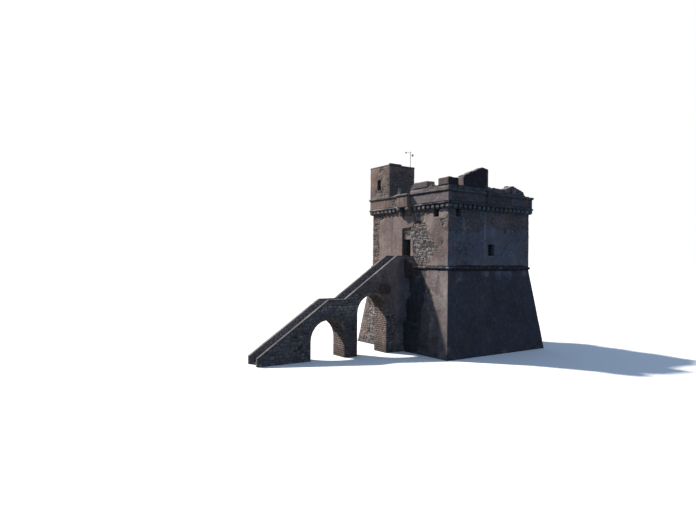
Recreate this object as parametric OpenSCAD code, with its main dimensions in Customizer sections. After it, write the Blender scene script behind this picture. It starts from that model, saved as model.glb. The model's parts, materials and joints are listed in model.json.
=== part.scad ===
// Square coastal watchtower with a battered base, a corbelled parapet, a corner guard turret
// and an outside stair that climbs over two arches to the raised doorway.
// Millimetres. X runs along the entrance front, -Y is the entrance side, Z is up.
// The origin is the tower's centre, at the level of the lowest ground.

/* [Tower body] */
// Outside width of the square body above the base
body_w = 12000; // [9600:100:14400]
// Thickness of the body walls
wall_t = 2400; // [1800:50:2900]
// Level of the main floor above the lowest ground
floor_level = 9240; // [7600:10:11100]
// Thickness of the floor and the fill under it
floor_t = 820; // [600:10:1000]
// Height of the room, from its floor to the top of the walls
room_h = 5560; // [4700:10:6700]
// How far the battered base spreads beyond the body, each side
batter = 1190; // [800:10:1500]
// Height of the round string course on top of the base
string_h = 300; // [200:10:360]

/* [Vault and terrace] */
// Height of the vault springing above the main floor
vault_spring = 2960; // [2600:10:3100]
// Rise of the vault at its crown
vault_rise = 1750; // [1000:10:2000]
// Thickness of the terrace paving and its bedding
terrace_t = 300; // [200:10:400]

/* [Doorway] */
// Distance of the doorway and stair from the middle of the front
axis_x = -110; // [-400:10:400]
// Width of the flat recess in the front wall round the doorway
recess_w = 1310; // [1100:10:1600]
// Height of the recess above the main floor
recess_h = 3400; // [3000:10:4000]
// Depth of the recess
recess_d = 200; // [100:10:300]
// Clear width of the door opening
door_w = 800; // [700:10:960]
// Height of the door opening above the main floor
door_h = 2240; // [1900:10:2400]
// Depth of the stone jambs
jamb_d = 280; // [200:10:350]
// Height of the stone lintel
lintel_h = 330; // [240:10:400]

/* [Windows and niches] */
// Width of each room window
window_w = 860; // [600:10:1000]
// Height of each room window
window_h = 1130; // [800:10:1300]
// Height of a window sill above the main floor
window_sill = 590; // [400:10:900]
// Width of the two square niches beside the near corner
niche_w = 690; // [500:10:800]
// Height of the niches
niche_h = 750; // [500:10:900]
// Depth of the niches
niche_d = 600; // [300:10:700]
// Distance of the front niche's middle from the corner
niche_front = 1675; // [1300:5:1900]
// Distance of the side niche's middle from the corner
niche_side = 1305; // [1200:5:1700]

/* [Parapet] */
// How far the parapet stands out beyond the walls
parapet_out = 250; // [150:10:350]
// Thickness of the parapet
parapet_t = 950; // [800:10:1100]
// Height of the parapet band, from the wall top to the cornice top
band_h = 1390; // [1100:10:1700]
// Height of the masonry between the cornice and the gaps of the merlons
sill_h = 410; // [200:10:600]
// Height of the roll moulding at the foot of the band
roll_h = 200; // [120:10:260]
// How far the roll moulding stands out
roll_out = 100; // [60:5:150]
// Height of the cornice
cornice_h = 220; // [140:10:300]
// How far the cornice stands out
cornice_out = 120; // [80:5:160]
// Number of corbels under each side of the parapet
corbel_n = 19; // [14:1:22]
// Width of a corbel
corbel_w = 300; // [220:10:340]
// Height of a corbel
corbel_h = 450; // [300:10:550]
// Height of a corbel's upright face, above its rounded foot
corbel_face = 180; // [100:10:250]
// Width of the drain through the front parapet at the near corner
drain_w = 120; // [80:5:200]
// Height of the drain
drain_h = 120; // [80:5:200]
// Distance of the drain's middle from the corner
drain_in = 690; // [400:10:850]

/* [Box over the door] */
// Outside width of the defensive box
box_w = 1660; // [1300:10:2100]
// How far the box stands out beyond the walls
box_out = 700; // [500:10:1000]
// Thickness of the box's masonry
box_t = 300; // [200:10:350]
// Height of the stepped corbels that carry the box
box_corbel_h = 850; // [600:10:1200]
// Width of the stepped corbels
box_corbel_w = 400; // [250:10:450]
// Number of stepped corbels
box_corbel_n = 2; // [2:1:3]
// Number of stones in each stepped corbel
box_stone_n = 2; // [2:1:4]

/* [Merlons] */
// Height of the merlons above their sill
merlon_h = 610; // [400:10:800]
// Length of the full merlon on the front
merlon_w = 2000; // [1500:10:2400]
// Width of the gap between the corner merlon and the next one
crenel_w = 1540; // [1000:10:1800]
// Length of the corner merlon along the front
corner_w = 1450; // [1200:10:1700]
// Length of the corner merlon along the right side
corner_d = 1250; // [1100:10:1500]
// How much higher the corner merlon is than the others
corner_rise = 70; // [0:5:150]
// Length of the tall merlon with the sloping top
slope_w = 3370; // [2800:10:3600]
// Distance of its middle from the near end of the right side
slope_mid = 3755; // [3600:5:4200]
// Height of its low end above the sill
slope_low = 1040; // [700:10:1300]
// Height of its peak above the sill
slope_high = 2050; // [1500:10:2300]
// Height of its far end above the sill
slope_far = 1930; // [1400:10:2050]
// Distance of its peak from its far end
slope_peak = 740; // [300:10:1200]
// How much thinner it is than the parapet, on the terrace side
slope_thin = 100; // [0:10:200]
// Highest point of the broken masonry on the far half of the right side, above the cornice
ruin_h = 970; // [600:10:1200]
// Width of the broken stub on the box over the door
stub_w = 500; // [300:10:600]
// Height of that stub
stub_h = 800; // [500:10:900]
// Width of the broken stub between the box and the full merlon
tooth_w = 490; // [300:10:520]
// Height of that stub
tooth_h = 560; // [400:10:600]

/* [Turret] */
// Outside width of the square guard turret
turret_w = 3500; // [3000:10:3900]
// Height of the turret walls above the cornice
turret_h = 3410; // [2800:10:4000]
// Thickness of the two turret walls that stand on the terrace
turret_t = 600; // [400:10:700]
// Thickness of the turret's roof slab
turret_roof_t = 180; // [120:10:260]
// Width of the slot window in the turret's front
slot_w = 570; // [350:10:700]
// Height of the slot window
slot_h = 1160; // [900:10:1300]
// Distance of the slot window's middle from the turret's outer side
slot_in = 1655; // [1400:5:1900]
// Height of the slot window's sill above the cornice
slot_sill = 900; // [700:10:1200]
// Width of the turret's doorway to the terrace
turret_door_w = 800; // [650:10:900]
// Height of the turret's doorway
turret_door_h = 1900; // [1700:10:2100]
// How far the turret's roof slab laps over its walls
roof_lap = 20; // [0:5:80]
// Width of the kerb on the roof's right edge
kerb_w = 160; // [100:10:250]
// Length of the kerb
kerb_l = 1650; // [1000:10:2500]
// Height of the kerb
kerb_h = 130; // [80:10:200]

/* [Stair] */
// Overall width of the stair
stair_w = 2000; // [1700:10:2400]
// Depth of a step from one riser to the next
going = 286; // [240:2:344]
// Number of risers in the lower flight
lower_n = 25; // [21:1:28]
// Number of risers in the upper flight
upper_n = 22; // [19:1:26]
// Length of the middle landing
mid_len = 2106; // [1800:2:2600]
// Length of the top landing
top_len = 2108; // [1500:2:2600]
// Thickness of the stone steps at their thinnest
step_t = 80; // [50:5:120]
// Thickness of the stair's side parapets
guard_t = 280; // [200:10:340]
// Height of the side parapets above the steps' edges
guard_h = 720; // [500:10:900]
// Thickness of the coping on the side parapets
coping_t = 60; // [40:5:90]
// How far the coping laps over each side
coping_lap = 10; // [0:1:25]
// Width of the drain through the right parapet at the top landing
landing_drain_w = 120; // [80:5:200]
// Distance of that drain's middle from the wall
landing_drain_out = 330; // [200:10:600]

/* [Arches] */
// Radius of the lower arch
lower_r = 1850; // [1500:10:1950]
// Distance of the lower arch's middle from the edge of the middle landing
lower_mid = 60; // [-100:10:200]
// Radius of the upper arch
upper_r = 1780; // [1450:10:1800]
// Thickness of the pier between the arches
pier_t = 1450; // [1200:10:1700]
// Depth of the arch stones
ring_t = 300; // [220:10:350]
// Number of stones in each arch
ring_n = 13; // [9:2:15]
// Least masonry between an arch and the steps
arch_cover = 80; // [40:5:200]

/* [Gate] */
// Thickness of the gate's flat iron
gate_t = 16; // [12:1:20]
// Width of the gate's flat iron
gate_rail = 60; // [40:1:70]
// Radius of the gate's round bars
bar_r = 11; // [8:1:14]
// Number of round bars
bar_n = 6; // [5:1:7]
// Height of the middle rail above the gate's foot
gate_mid = 980; // [800:10:1200]
// Gap under and over the gate
gate_gap = 30; // [15:1:50]
// How far the gate stands behind the stone jambs
gate_back = 30; // [20:1:60]
// How far the gate laps behind the jamb on its lock side
gate_lap = 50; // [20:1:90]
// Radius of the hinge pins
pin_r = 12; // [8:1:16]
// Distance of the hinge pins from the door opening
pin_out = 70; // [50:5:90]
// Height of the lower hinge above the gate's foot, and of the upper one below its top
hinge_in = 285; // [200:5:400]

/* [Mast] */
// Height of the mast on the turret
mast_h = 1830; // [1200:10:2400]
// Radius of the mast
mast_r = 30; // [20:1:45]
// Distance of the mast from the turret's inner corner, each way
mast_in = 310; // [200:10:600]
// How far the wind gauge stands out from the mast
gauge_out = 520; // [300:10:600]
// How far the rain box stands out from the mast
rain_out = 250; // [150:10:400]

/* [Hidden] */

// Gap of a mortar joint between solids of one piece
joint = 0.5;
eps = 1;
huge = 60000;

half = body_w / 2;
inner = half - wall_t;
foot = half + batter;
base_h = floor_level - floor_t;
wall_top = floor_level + room_h;
terrace_z = wall_top + terrace_t;
edge = half + parapet_out;
inside = edge - parapet_t;
cornice_z = wall_top + band_h;
sill_z = cornice_z + sill_h;
merlon_z = sill_z + merlon_h;
corbel_z = wall_top - corbel_h;

recess_x0 = axis_x - recess_w / 2;
recess_x1 = axis_x + recess_w / 2;
door_x0 = axis_x - door_w / 2;
door_x1 = axis_x + door_w / 2;
jamb_y = -half + recess_d;
jamb_back = jamb_y + jamb_d;
door_z = floor_level + door_h;
lintel_z = door_z + lintel_h;
recess_z = floor_level + recess_h;

box_x0 = axis_x - box_w / 2;
box_x1 = axis_x + box_w / 2;
box_y = half + box_out;

turret_x1 = -edge + turret_w;
turret_z = cornice_z + turret_h;
turret_roof_z = turret_z + turret_roof_t;
slot_x = -edge + slot_in;
slot_z = cornice_z + slot_sill;

stair_x0 = axis_x - stair_w / 2;
stair_x1 = axis_x + stair_w / 2;
riser = floor_level / (lower_n + upper_n + 1);
slope = riser / going;
rake = cos(atan(slope));
top_y = -half - top_len;
upper_y = top_y - (upper_n - 1) * going;
mid_y = upper_y - mid_len;
lower_y = mid_y - (lower_n - 1) * going;
guard_y = lower_y - going;
mid_z = lower_n * riser;
top_z = mid_z + upper_n * riser;
slab_t = riser + step_t;
mid_under = mid_z - slab_t;
top_under = top_z - slab_t;
waist_y = mid_y - mid_under / slope;

lower_cy = mid_y - lower_mid;
upper_cy = lower_cy + lower_r + pier_t + upper_r;
lower_cz = mid_under + slope * (lower_cy - mid_y) - (lower_r + ring_t + arch_cover) / rake;
upper_cz = top_under + slope * (upper_cy - top_y) - (upper_r + ring_t + arch_cover) / rake;

pintle_x = door_x0 - pin_out;
leaf_y = jamb_back + gate_back;
leaf_x1 = door_x1 + gate_lap;
leaf_z0 = floor_level + gate_gap;
leaf_z1 = door_z - gate_gap;
pin_h = 90;
pin_gap = 0.5;
eye_h = 60;
eye_r = pin_r * 2;
eye_gap = 6;
leaf_x0 = pintle_x + eye_r + eye_gap;
hinge_zs = [leaf_z0 + hinge_in, leaf_z1 - hinge_in];
lock_w = 90;
lock_t = 50;
lock_h = 180;

// Sides of the round shapes: large, ordinary and thin
large_fn = 96;
round_fn = 32;
thin_fn = 16;

stone = [0.52, 0.47, 0.43];
render = [0.55, 0.48, 0.45];
tufa = [0.56, 0.50, 0.44];
pale = [0.66, 0.62, 0.57];
paving = [0.50, 0.48, 0.45];
iron = [0.13, 0.14, 0.16];
steel = [0.60, 0.62, 0.63];

// Broken top of the right parapet: shares of the half side and of the broken masonry's height
ruin_top = [[0.94, 0], [0.9, 0.5], [0.58, 1], [0.37, 0.55], [-0.04, 0.5]];
// Where the sound part of that parapet ends, as a share of the half side
sound_end = -0.05;
// Where the back parapet's upper course starts and reaches its height, as shares of the half side
back_gap = [0.8, 0.7];
// Outlines of the two broken stubs: shares of their width and height
stub_outline = [[0, 0], [1, 0], [0.68, 0.6], [0.36, 1], [0.18, 0.47]];
tooth_outline = [[0, 0], [1, 0], [0.95, 1], [0.3, 0.75]];
// Radius of the rounded noses of the box's corbel stones, as a share of their height
nose_share = 0.75;

// A block given by its two corners
module block(a, b) {
  translate(a) cube(b - a);
}

// Carries an outline drawn in Y and Z along X, from x0 to x1
module along_x(x0, x1) {
  translate([x0, 0, 0]) rotate([90, 0, 90]) linear_extrude(x1 - x0) children();
}

// Carries an outline drawn in X and Z along Y, from y0 to y1
module along_y(y0, y1) {
  translate([0, y1, 0]) rotate([90, 0, 0]) linear_extrude(y1 - y0) children();
}

// Carries a plan outline from one level to another
module upright(z0, z1) {
  translate([0, 0, z0]) linear_extrude(z1 - z0) children();
}

// Turns a piece of the front to another side: 0 front, 1 right, 2 back, 3 left
module on_side(n) {
  rotate([0, 0, 90 * n]) children();
}

// A length of moulding on a wall face that stands at y = -face, with its profile as
// [how far out, height] points. m0 and m1 say which ends are mitred round an outer corner.
module moulding(profile, face, x0, x1, out, m0, m1) {
  a = x0 + joint / 2;
  b = x1 - joint / 2;
  intersection() {
    along_x(a - m0 * out, b + m1 * out) polygon([for (p = profile) [-face - p[0], p[1]]]);
    linear_extrude(huge / 2)
      polygon([[a - m0 * out, -face - out], [b + m1 * out, -face - out], [b, -face], [a, -face]]);
  }
}

roll_profile = [for (a = [-90:18:90])
  [roll_out * cos(a), wall_top + roll_h / 2 * (1 + sin(a))]];

// The cornice is a plain fillet over a rounded moulding: shares of its height and of its reach
fillet = 0.3;
toe = 0.4;
cornice_profile = concat(
  [[0, cornice_z - cornice_h]],
  [for (a = [0:30:90]) [cornice_out * (toe + (1 - toe) * sin(a)),
    cornice_z - cornice_h * (fillet + (1 - fillet) * cos(a))]],
  [[cornice_out, cornice_z], [0, cornice_z]]);
string_profile = [for (a = [-90:15:90])
  [string_h / 2 * cos(a), base_h + string_h / 2 * (1 + sin(a))]];

// Moulding all round the parapet, up to a distance from the box over the door
module parapet_moulding(profile, out, clear) {
  moulding(profile, edge, -edge, box_x0 - clear, out, 1, 0);
  moulding(profile, edge, box_x1 + clear, edge, out, 0, 1);
  for (n = [1:3]) on_side(n) moulding(profile, edge, -edge, edge, out, 1, 1);
}

// Battered base: a square frustum of masonry
module battered_base() color(render) {
  outline = [[-foot, 0], [foot, 0], [half, base_h], [-half, base_h]];
  intersection() {
    along_x(-foot, foot) polygon(outline);
    along_y(-foot, foot) polygon(outline);
  }
}

// Round string course, in lengths, left open where the stair meets the wall
module string_course() color(stone) {
  moulding(string_profile, half, -half, stair_x0, string_h / 2, 1, 0);
  moulding(string_profile, half, stair_x1, half, string_h / 2, 0, 1);
  for (n = [1:3]) on_side(n) moulding(string_profile, half, -half, half, string_h / 2, 1, 1);
}

module front_wall_left() color(render)
  block([-half, -half, base_h], [recess_x0, -inner, wall_top]);

module front_wall_right() color(stone) difference() {
  block([recess_x1, -half, base_h], [half, -inner, wall_top]);
  block([half - niche_front - niche_w / 2, -half - eps, corbel_z - niche_h],
    [half - niche_front + niche_w / 2, -half + niche_d, corbel_z]);
  block([half - niche_d, -half + niche_side - niche_w / 2, corbel_z - niche_h],
    [half + eps, -half + niche_side + niche_w / 2, corbel_z]);
}

// Wall over the doorway, stepped back in the recess
module front_wall_over_door() color(render) along_x(recess_x0, recess_x1)
  polygon([[jamb_y, lintel_z], [-inner, lintel_z], [-inner, wall_top], [-half, wall_top],
    [-half, recess_z], [jamb_y, recess_z]]);

module door_sill() color(paving)
  block([recess_x0, -half, base_h], [recess_x1, -inner, floor_level]);

// Two stone jambs and the lintel over them
module door_frame() color(pale) {
  block([recess_x0, jamb_y, floor_level], [door_x0, jamb_back, door_z - joint]);
  block([door_x1, jamb_y, floor_level], [recess_x1, jamb_back, door_z - joint]);
  block([recess_x0, jamb_y, door_z], [recess_x1, -inner, lintel_z]);
}

// A wall between two other walls, with one window through it, on the right side
module window_wall(x0, x1) {
  difference() {
    block([inner, x0, base_h], [half, x1, wall_top]);
    block([inner - eps, -window_w / 2, floor_level + window_sill],
      [half + eps, window_w / 2, floor_level + window_sill + window_h]);
  }
}

module right_wall() color(stone) window_wall(-inner, inner);
module back_wall() color(stone) on_side(1) window_wall(-half, half);
module left_wall() color(stone) on_side(2) window_wall(-inner, inner);

module main_floor() color(paving)
  block([-inner, -inner, base_h], [inner, inner, floor_level]);

// Segmental barrel vault over the room, level on top
module vault() color(stone) {
  spring = floor_level + vault_spring;
  vault_r = (inner * inner + vault_rise * vault_rise) / (2 * vault_rise);
  difference() {
    block([-inner, -inner, spring], [inner, inner, wall_top]);
    translate([0, inner + eps, spring + vault_rise - vault_r]) rotate([90, 0, 0])
      cylinder(r = vault_r, h = 2 * (inner + eps), $fn = large_fn);
  }
}

module terrace_floor() color(paving)
  block([-inside, -inside, wall_top], [inside, inside, terrace_z]);

// A corbel with a rounded foot, standing on the front wall face, centred on x
module corbel(x) {
  along_x(x - corbel_w / 2, x + corbel_w / 2)
    polygon(concat([[-half, wall_top], [-half - parapet_out, wall_top]],
      [for (a = [0:15:90])
        [-half - parapet_out * cos(a), wall_top - corbel_face - (corbel_h - corbel_face) * sin(a)]]));
}

corbel_step = (2 * half - corbel_w) / (corbel_n - 1);
corbel_xs = [for (i = [0:corbel_n - 1]) -half + corbel_w / 2 + i * corbel_step];

module front_corbels() color(pale)
  for (x = corbel_xs) if (abs(x - axis_x) > (box_w + corbel_w) / 2) corbel(x);

// Corbels of the two sides and the back
module side_corbels() color(pale)
  for (n = [1:3]) on_side(n) for (x = corbel_xs) corbel(x);

module front_parapet_left() color(render)
  block([-edge, -edge, wall_top], [box_x0, -inside, cornice_z]);

// Front parapet right of the box, with a drain through it at the level of the terrace
module front_parapet_right() color(render) difference() {
  block([box_x1, -edge, wall_top], [edge, -inside, sill_z]);
  block([edge - drain_in - drain_w / 2, -edge - eps, terrace_z],
    [edge - drain_in + drain_w / 2, -inside + eps, terrace_z + drain_h]);
}

// Right parapet: sound in its near half, broken down beyond it
module right_parapet() color(stone) along_x(inside, edge)
  polygon(concat([[-inside, wall_top], [inside, wall_top], [inside, cornice_z]],
    [for (p = ruin_top) [inside * p[0], cornice_z + ruin_h * p[1]]],
    [[inside * sound_end, sill_z], [-inside, sill_z]]));

// Back parapet: the upper course is missing at its right end
module back_parapet() color(stone) along_y(inside, edge)
  polygon([[-edge, wall_top], [edge, wall_top], [edge, cornice_z], [inside * back_gap[0], cornice_z],
    [inside * back_gap[1], sill_z], [-edge, sill_z]]);

// Left parapet: low where the turret stands on it
module left_parapet() color(stone) along_x(-edge, -inside)
  polygon([[-inside, wall_top], [inside, wall_top], [inside, sill_z], [turret_x1, sill_z],
    [turret_x1, cornice_z], [-inside, cornice_z]]);

module roll_moulding() color(pale) parapet_moulding(roll_profile, roll_out, 0);

// The cornice goes round the box as well
module cornice() color(pale) {
  parapet_moulding(cornice_profile, cornice_out, cornice_out);
  moulding(cornice_profile, box_y, box_x0, box_x1, cornice_out, 1, 1);
  on_side(1) moulding(cornice_profile, box_x1, -box_y, -edge, cornice_out, 1, 0);
  on_side(3) moulding(cornice_profile, -box_x0, edge, box_y, cornice_out, 0, 1);
}

// Box over the door: a front and two cheeks, open below and to the terrace
module door_box() color(render) difference() {
  block([box_x0, -box_y, wall_top], [box_x1, -inside, cornice_z]);
  block([box_x0 + box_t, -box_y + box_t, wall_top - eps], [box_x1 - box_t, -inside + eps, cornice_z + eps]);
}

// Stepped corbels under the box, built of stones with rounded noses
module door_box_corbels() color(pale) {
  stone_h = box_corbel_h / box_stone_n;
  nose = stone_h * nose_share;
  pitch = (box_w - box_corbel_w) / (box_corbel_n - 1);
  for (i = [0:box_corbel_n - 1]) for (k = [1:box_stone_n]) {
    x = box_x0 + i * pitch;
    reach = box_out * k / box_stone_n;
    z = wall_top - box_corbel_h + (k - 1) * stone_h;
    along_x(x, x + box_corbel_w)
      polygon(concat([[-half, z + stone_h - joint], [-half - reach, z + stone_h - joint]],
        [for (a = [0:18:90]) [-half - reach + nose * (1 - cos(a)), z + nose * (1 - sin(a))]],
        [[-half, z]]));
  }
}

// Corner merlon and the full merlon beside it
module front_merlons() color(render) {
  upright(sill_z, merlon_z + corner_rise)
    polygon([[edge - corner_w, -edge], [edge, -edge], [edge, -edge + corner_d], [inside, -edge + corner_d],
      [inside, -inside], [edge - corner_w, -inside]]);
  merlon_x1 = edge - corner_w - crenel_w;
  block([merlon_x1 - merlon_w, -edge, sill_z], [merlon_x1, -inside, merlon_z]);
}

// Tall merlon on the right side, with a top that slopes down towards the near corner
module sloping_merlon() color(stone) {
  y0 = -edge + slope_mid - slope_w / 2;
  y1 = y0 + slope_w;
  along_x(inside + slope_thin, edge)
    polygon([[y0, sill_z], [y1, sill_z], [y1, sill_z + slope_far],
      [y1 - slope_peak, sill_z + slope_high], [y0, sill_z + slope_low]]);
}

// Plain merlons on the two sides that face away from the stair
module rear_merlons() color(stone) {
  for (x = [-edge + corner_w + crenel_w, -edge + corner_w + 2 * crenel_w + merlon_w])
    block([x, inside, sill_z], [x + merlon_w, edge, merlon_z]);
  upright(sill_z, merlon_z)
    polygon([[-edge, edge - corner_w], [-inside, edge - corner_w], [-inside, inside],
      [-edge + corner_w, inside], [-edge + corner_w, edge], [-edge, edge]]);
  block([-edge, edge - corner_w - crenel_w - merlon_w, sill_z],
    [-inside, edge - corner_w - crenel_w, merlon_z]);
}

// Stubs of two merlons that have fallen
module broken_merlons() color(pale) {
  along_y(-box_y, -box_y + box_t)
    polygon([for (p = stub_outline) [box_x0 + stub_w * p[0], cornice_z + stub_h * p[1]]]);
  along_y(-edge, -inside)
    polygon([for (p = tooth_outline) [box_x1 + tooth_w * p[0], sill_z + tooth_h * p[1]]]);
}

// Guard turret on the front left corner, with a slot window and a doorway to the terrace
module turret_walls() color(stone) {
  a = -edge;
  b = -inside;
  c = turret_x1 - turret_t;
  d = turret_x1;
  difference() {
    block([a, a, cornice_z], [d, b - joint, turret_z]);
    block([slot_x - slot_w / 2, a - eps, slot_z], [slot_x + slot_w / 2, b, slot_z + slot_h]);
  }
  block([a, b, cornice_z], [b - joint, d, turret_z]);
  block([c + joint, b, terrace_z], [d, d, turret_z]);
  door_mid = (b + c) / 2;
  difference() {
    block([b, c, terrace_z], [c, d, turret_z]);
    block([door_mid - turret_door_w / 2, c - eps, terrace_z - eps],
      [door_mid + turret_door_w / 2, d + eps, terrace_z + turret_door_h]);
  }
}

// Flat roof of the turret, with a low kerb on its right edge
module turret_roof() color(paving) {
  block([-edge - roof_lap, -edge - roof_lap, turret_z],
    [turret_x1 + roof_lap, turret_x1 + roof_lap, turret_roof_z]);
  block([turret_x1 - kerb_w, -edge, turret_roof_z + joint],
    [turret_x1, -edge + kerb_l, turret_roof_z + kerb_h]);
}

// Mast on the turret: a round foot plate, a pole, and two arms that carry a wind gauge and a rain box
module mast() color(steel)
  translate([turret_x1 - mast_in, turret_x1 - mast_in, turret_roof_z]) rotate([0, 0, 45]) {
    arm_r = mast_r * 0.6;
    plate_t = 20;
    gauge_z = mast_h - 120;
    gauge_r = 75;
    gauge_h = 170;
    rain_z = mast_h - 450;
    rain_r = 80;
    rain_h = 260;
    cylinder(r = mast_r * 3, h = plate_t, $fn = round_fn);
    cylinder(r = mast_r, h = mast_h, $fn = round_fn);
    translate([0, 0, gauge_z]) rotate([0, -90, 0]) cylinder(r = arm_r, h = gauge_out, $fn = thin_fn);
    translate([0, 0, rain_z]) rotate([0, 90, 0]) cylinder(r = arm_r, h = rain_out, $fn = thin_fn);
    translate([-gauge_out, 0, gauge_z - gauge_h / 2]) cylinder(r = gauge_r, h = gauge_h, $fn = round_fn);
    translate([rain_out, 0, rain_z - rain_h / 2]) cylinder(r = rain_r, h = rain_h, $fn = round_fn);
  }

// Outline of the stair's masonry in Y and Z, up to the underside of the steps and landings
module stair_outline() {
  polygon([[waist_y, 0], [mid_y, mid_under], [upper_y, mid_under], [upper_y, mid_under + riser],
    [top_y, top_under], [-half, top_under], [-half, base_h], [-foot, 0]]);
}

// Outline of an arch opening with the ring of stones round it
module arch_outline(cy, cz, r) {
  reach = r + ring_t + joint;
  polygon(concat([[cy - r, -eps], [cy + r, -eps], [cy + r, cz], [cy + reach, cz]],
    [for (k = [1:ring_n - 1]) [cy + reach * cos(180 * k / ring_n), cz + reach * sin(180 * k / ring_n)]],
    [[cy - reach, cz], [cy - r, cz]]));
}

// The part of the stair's masonry between two places along it
module stair_mass(y0, y1) {
  difference() {
    intersection() {
      along_x(stair_x0, stair_x1) stair_outline();
      block([stair_x0 - eps, y0, -eps], [stair_x1 + eps, y1 - joint, huge / 2]);
    }
    along_x(stair_x0 - eps, stair_x1 + eps) arch_outline(lower_cy, lower_cz, lower_r);
    along_x(stair_x0 - eps, stair_x1 + eps) arch_outline(upper_cy, upper_cz, upper_r);
  }
}

module stair_foot() color(stone) stair_mass(guard_y, lower_cy - lower_r);
module lower_spandrel() color(stone) stair_mass(lower_cy - lower_r, lower_cy + lower_r);
module middle_pier() color(tufa) stair_mass(lower_cy + lower_r, upper_cy - upper_r);
module upper_spandrel() color(stone) stair_mass(upper_cy - upper_r, upper_cy + upper_r);
module stair_head() color(stone) stair_mass(upper_cy + upper_r, joint - half);

// A round arch of flat-faced stones
module arch_ring(cy, cz, r) {
  gap = joint / r * 90 / PI;
  for (k = [0:ring_n - 1]) {
    a = 180 * k / ring_n + gap;
    b = 180 * (k + 1) / ring_n - gap;
    along_x(stair_x0, stair_x1)
      polygon([for (q = [[r, a], [r + ring_t, a], [r + ring_t, b], [r, b]])
        [cy + q[0] * cos(q[1]), cz + q[0] * sin(q[1])]]);
  }
}

module lower_arch() color(tufa) arch_ring(lower_cy, lower_cz, lower_r);
module upper_arch() color(tufa) arch_ring(upper_cy, upper_cz, upper_r);

// One stone step, bedded on the sloping masonry, with its front edge at y and its top at z
module stone_step(y, z) {
  bed = z - riser - step_t + joint;
  back = y + going - joint;
  intersection() {
    along_x(stair_x0 + guard_t + joint, stair_x1 - guard_t - joint)
      polygon([[y, z], [y, bed], [back, bed + slope * (back - y)], [back, z]]);
    block([stair_x0, y, 0], [stair_x1, y + going, z]);
  }
}

module lower_steps() color(paving)
  for (i = [1:lower_n - 1]) stone_step(lower_y + (i - 1) * going, i * riser);

module upper_steps() color(paving)
  for (i = [1:upper_n - 1]) stone_step(upper_y + (i - 1) * going, mid_z + i * riser);

module stair_landings() color(paving) {
  x0 = stair_x0 + guard_t + joint;
  x1 = stair_x1 - guard_t - joint;
  block([x0, mid_y, mid_under], [x1, upper_y - joint, mid_z]);
  block([x0, top_y, top_under], [x1, -half, top_z]);
}

// Top line of the side parapets, lowered by the given amount
function guard_line(drop) = [
  [guard_y, guard_h - drop], [mid_y, mid_z + guard_h - drop],
  [upper_y - going, mid_z + guard_h - drop], [top_y, top_z + guard_h - drop],
  [-half, top_z + guard_h - drop]];

function reversed(list) = [for (i = [len(list) - 1:-1:0]) list[i]];

// The two side parapets, bedded on the edges of the masonry, with a drain through the right one
module stair_guards() color(stone) difference() {
  for (x = [stair_x0, stair_x1 - guard_t]) along_x(x, x + guard_t)
    polygon(concat(
      [[guard_y, 0], [waist_y - joint, 0], [mid_y - joint, mid_under], [upper_y - joint, mid_under],
        [upper_y - joint, mid_under + riser], [top_y - joint, top_under], [-half, top_under]],
      reversed(guard_line(coping_t))));
  block([stair_x1 - guard_t - eps, -half - landing_drain_out - landing_drain_w / 2, top_z],
    [stair_x1 + eps, -half - landing_drain_out + landing_drain_w / 2, top_z + landing_drain_w]);
}

// Thin copings on the side parapets
module stair_copings() color(pale)
  for (x = [stair_x0, stair_x1 - guard_t]) along_x(x - coping_lap, x + guard_t + coping_lap)
    polygon(concat(guard_line(coping_t), reversed(guard_line(0))));

// Barred iron gate behind the stone jambs: two stiles, three rails, round bars and a lock
module gate_leaf() color(iron) {
  y0 = leaf_y - gate_t / 2;
  y1 = leaf_y + gate_t / 2;
  rail_z = leaf_z0 + gate_mid;
  for (x = [leaf_x0, leaf_x1 - gate_rail]) block([x, y0, leaf_z0], [x + gate_rail, y1, leaf_z1]);
  for (z = [leaf_z0, rail_z, leaf_z1 - gate_rail]) block([leaf_x0, y0, z], [leaf_x1, y1, z + gate_rail]);
  bar_step = (leaf_x1 - leaf_x0 - 2 * gate_rail) / (bar_n + 1);
  for (i = [1:bar_n])
    translate([leaf_x0 + gate_rail + i * bar_step, leaf_y, leaf_z0 + gate_rail / 2])
      cylinder(r = bar_r, h = leaf_z1 - leaf_z0 - gate_rail, $fn = thin_fn);
  lock_mid = rail_z + gate_rail / 2;
  block([leaf_x1 - gate_rail - lock_w, leaf_y - lock_t / 2, lock_mid - lock_h / 2],
    [leaf_x1 - gate_rail / 4, leaf_y + lock_t / 2, lock_mid + lock_h / 2]);
  for (z = hinge_zs) difference() {
    union() {
      translate([pintle_x, leaf_y, z + pin_gap]) cylinder(r = eye_r, h = eye_h, $fn = round_fn);
      block([pintle_x, y0, z + pin_gap], [leaf_x0 + gate_rail, y1, z + pin_gap + eye_h]);
    }
    translate([pintle_x, leaf_y, z - eps]) cylinder(r = pin_r + pin_gap, h = eye_h + 3 * eps, $fn = round_fn);
  }
}

// Two upright pins on square shanks let into the wall beside the doorway
module gate_pintles() color(iron)
  for (z = hinge_zs) {
    block([recess_x0, leaf_y - pin_r, z - 2 * pin_r], [pintle_x + pin_r, leaf_y + pin_r, z]);
    translate([pintle_x, leaf_y, z - pin_r]) cylinder(r = pin_r, h = pin_h, $fn = round_fn);
  }

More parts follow.
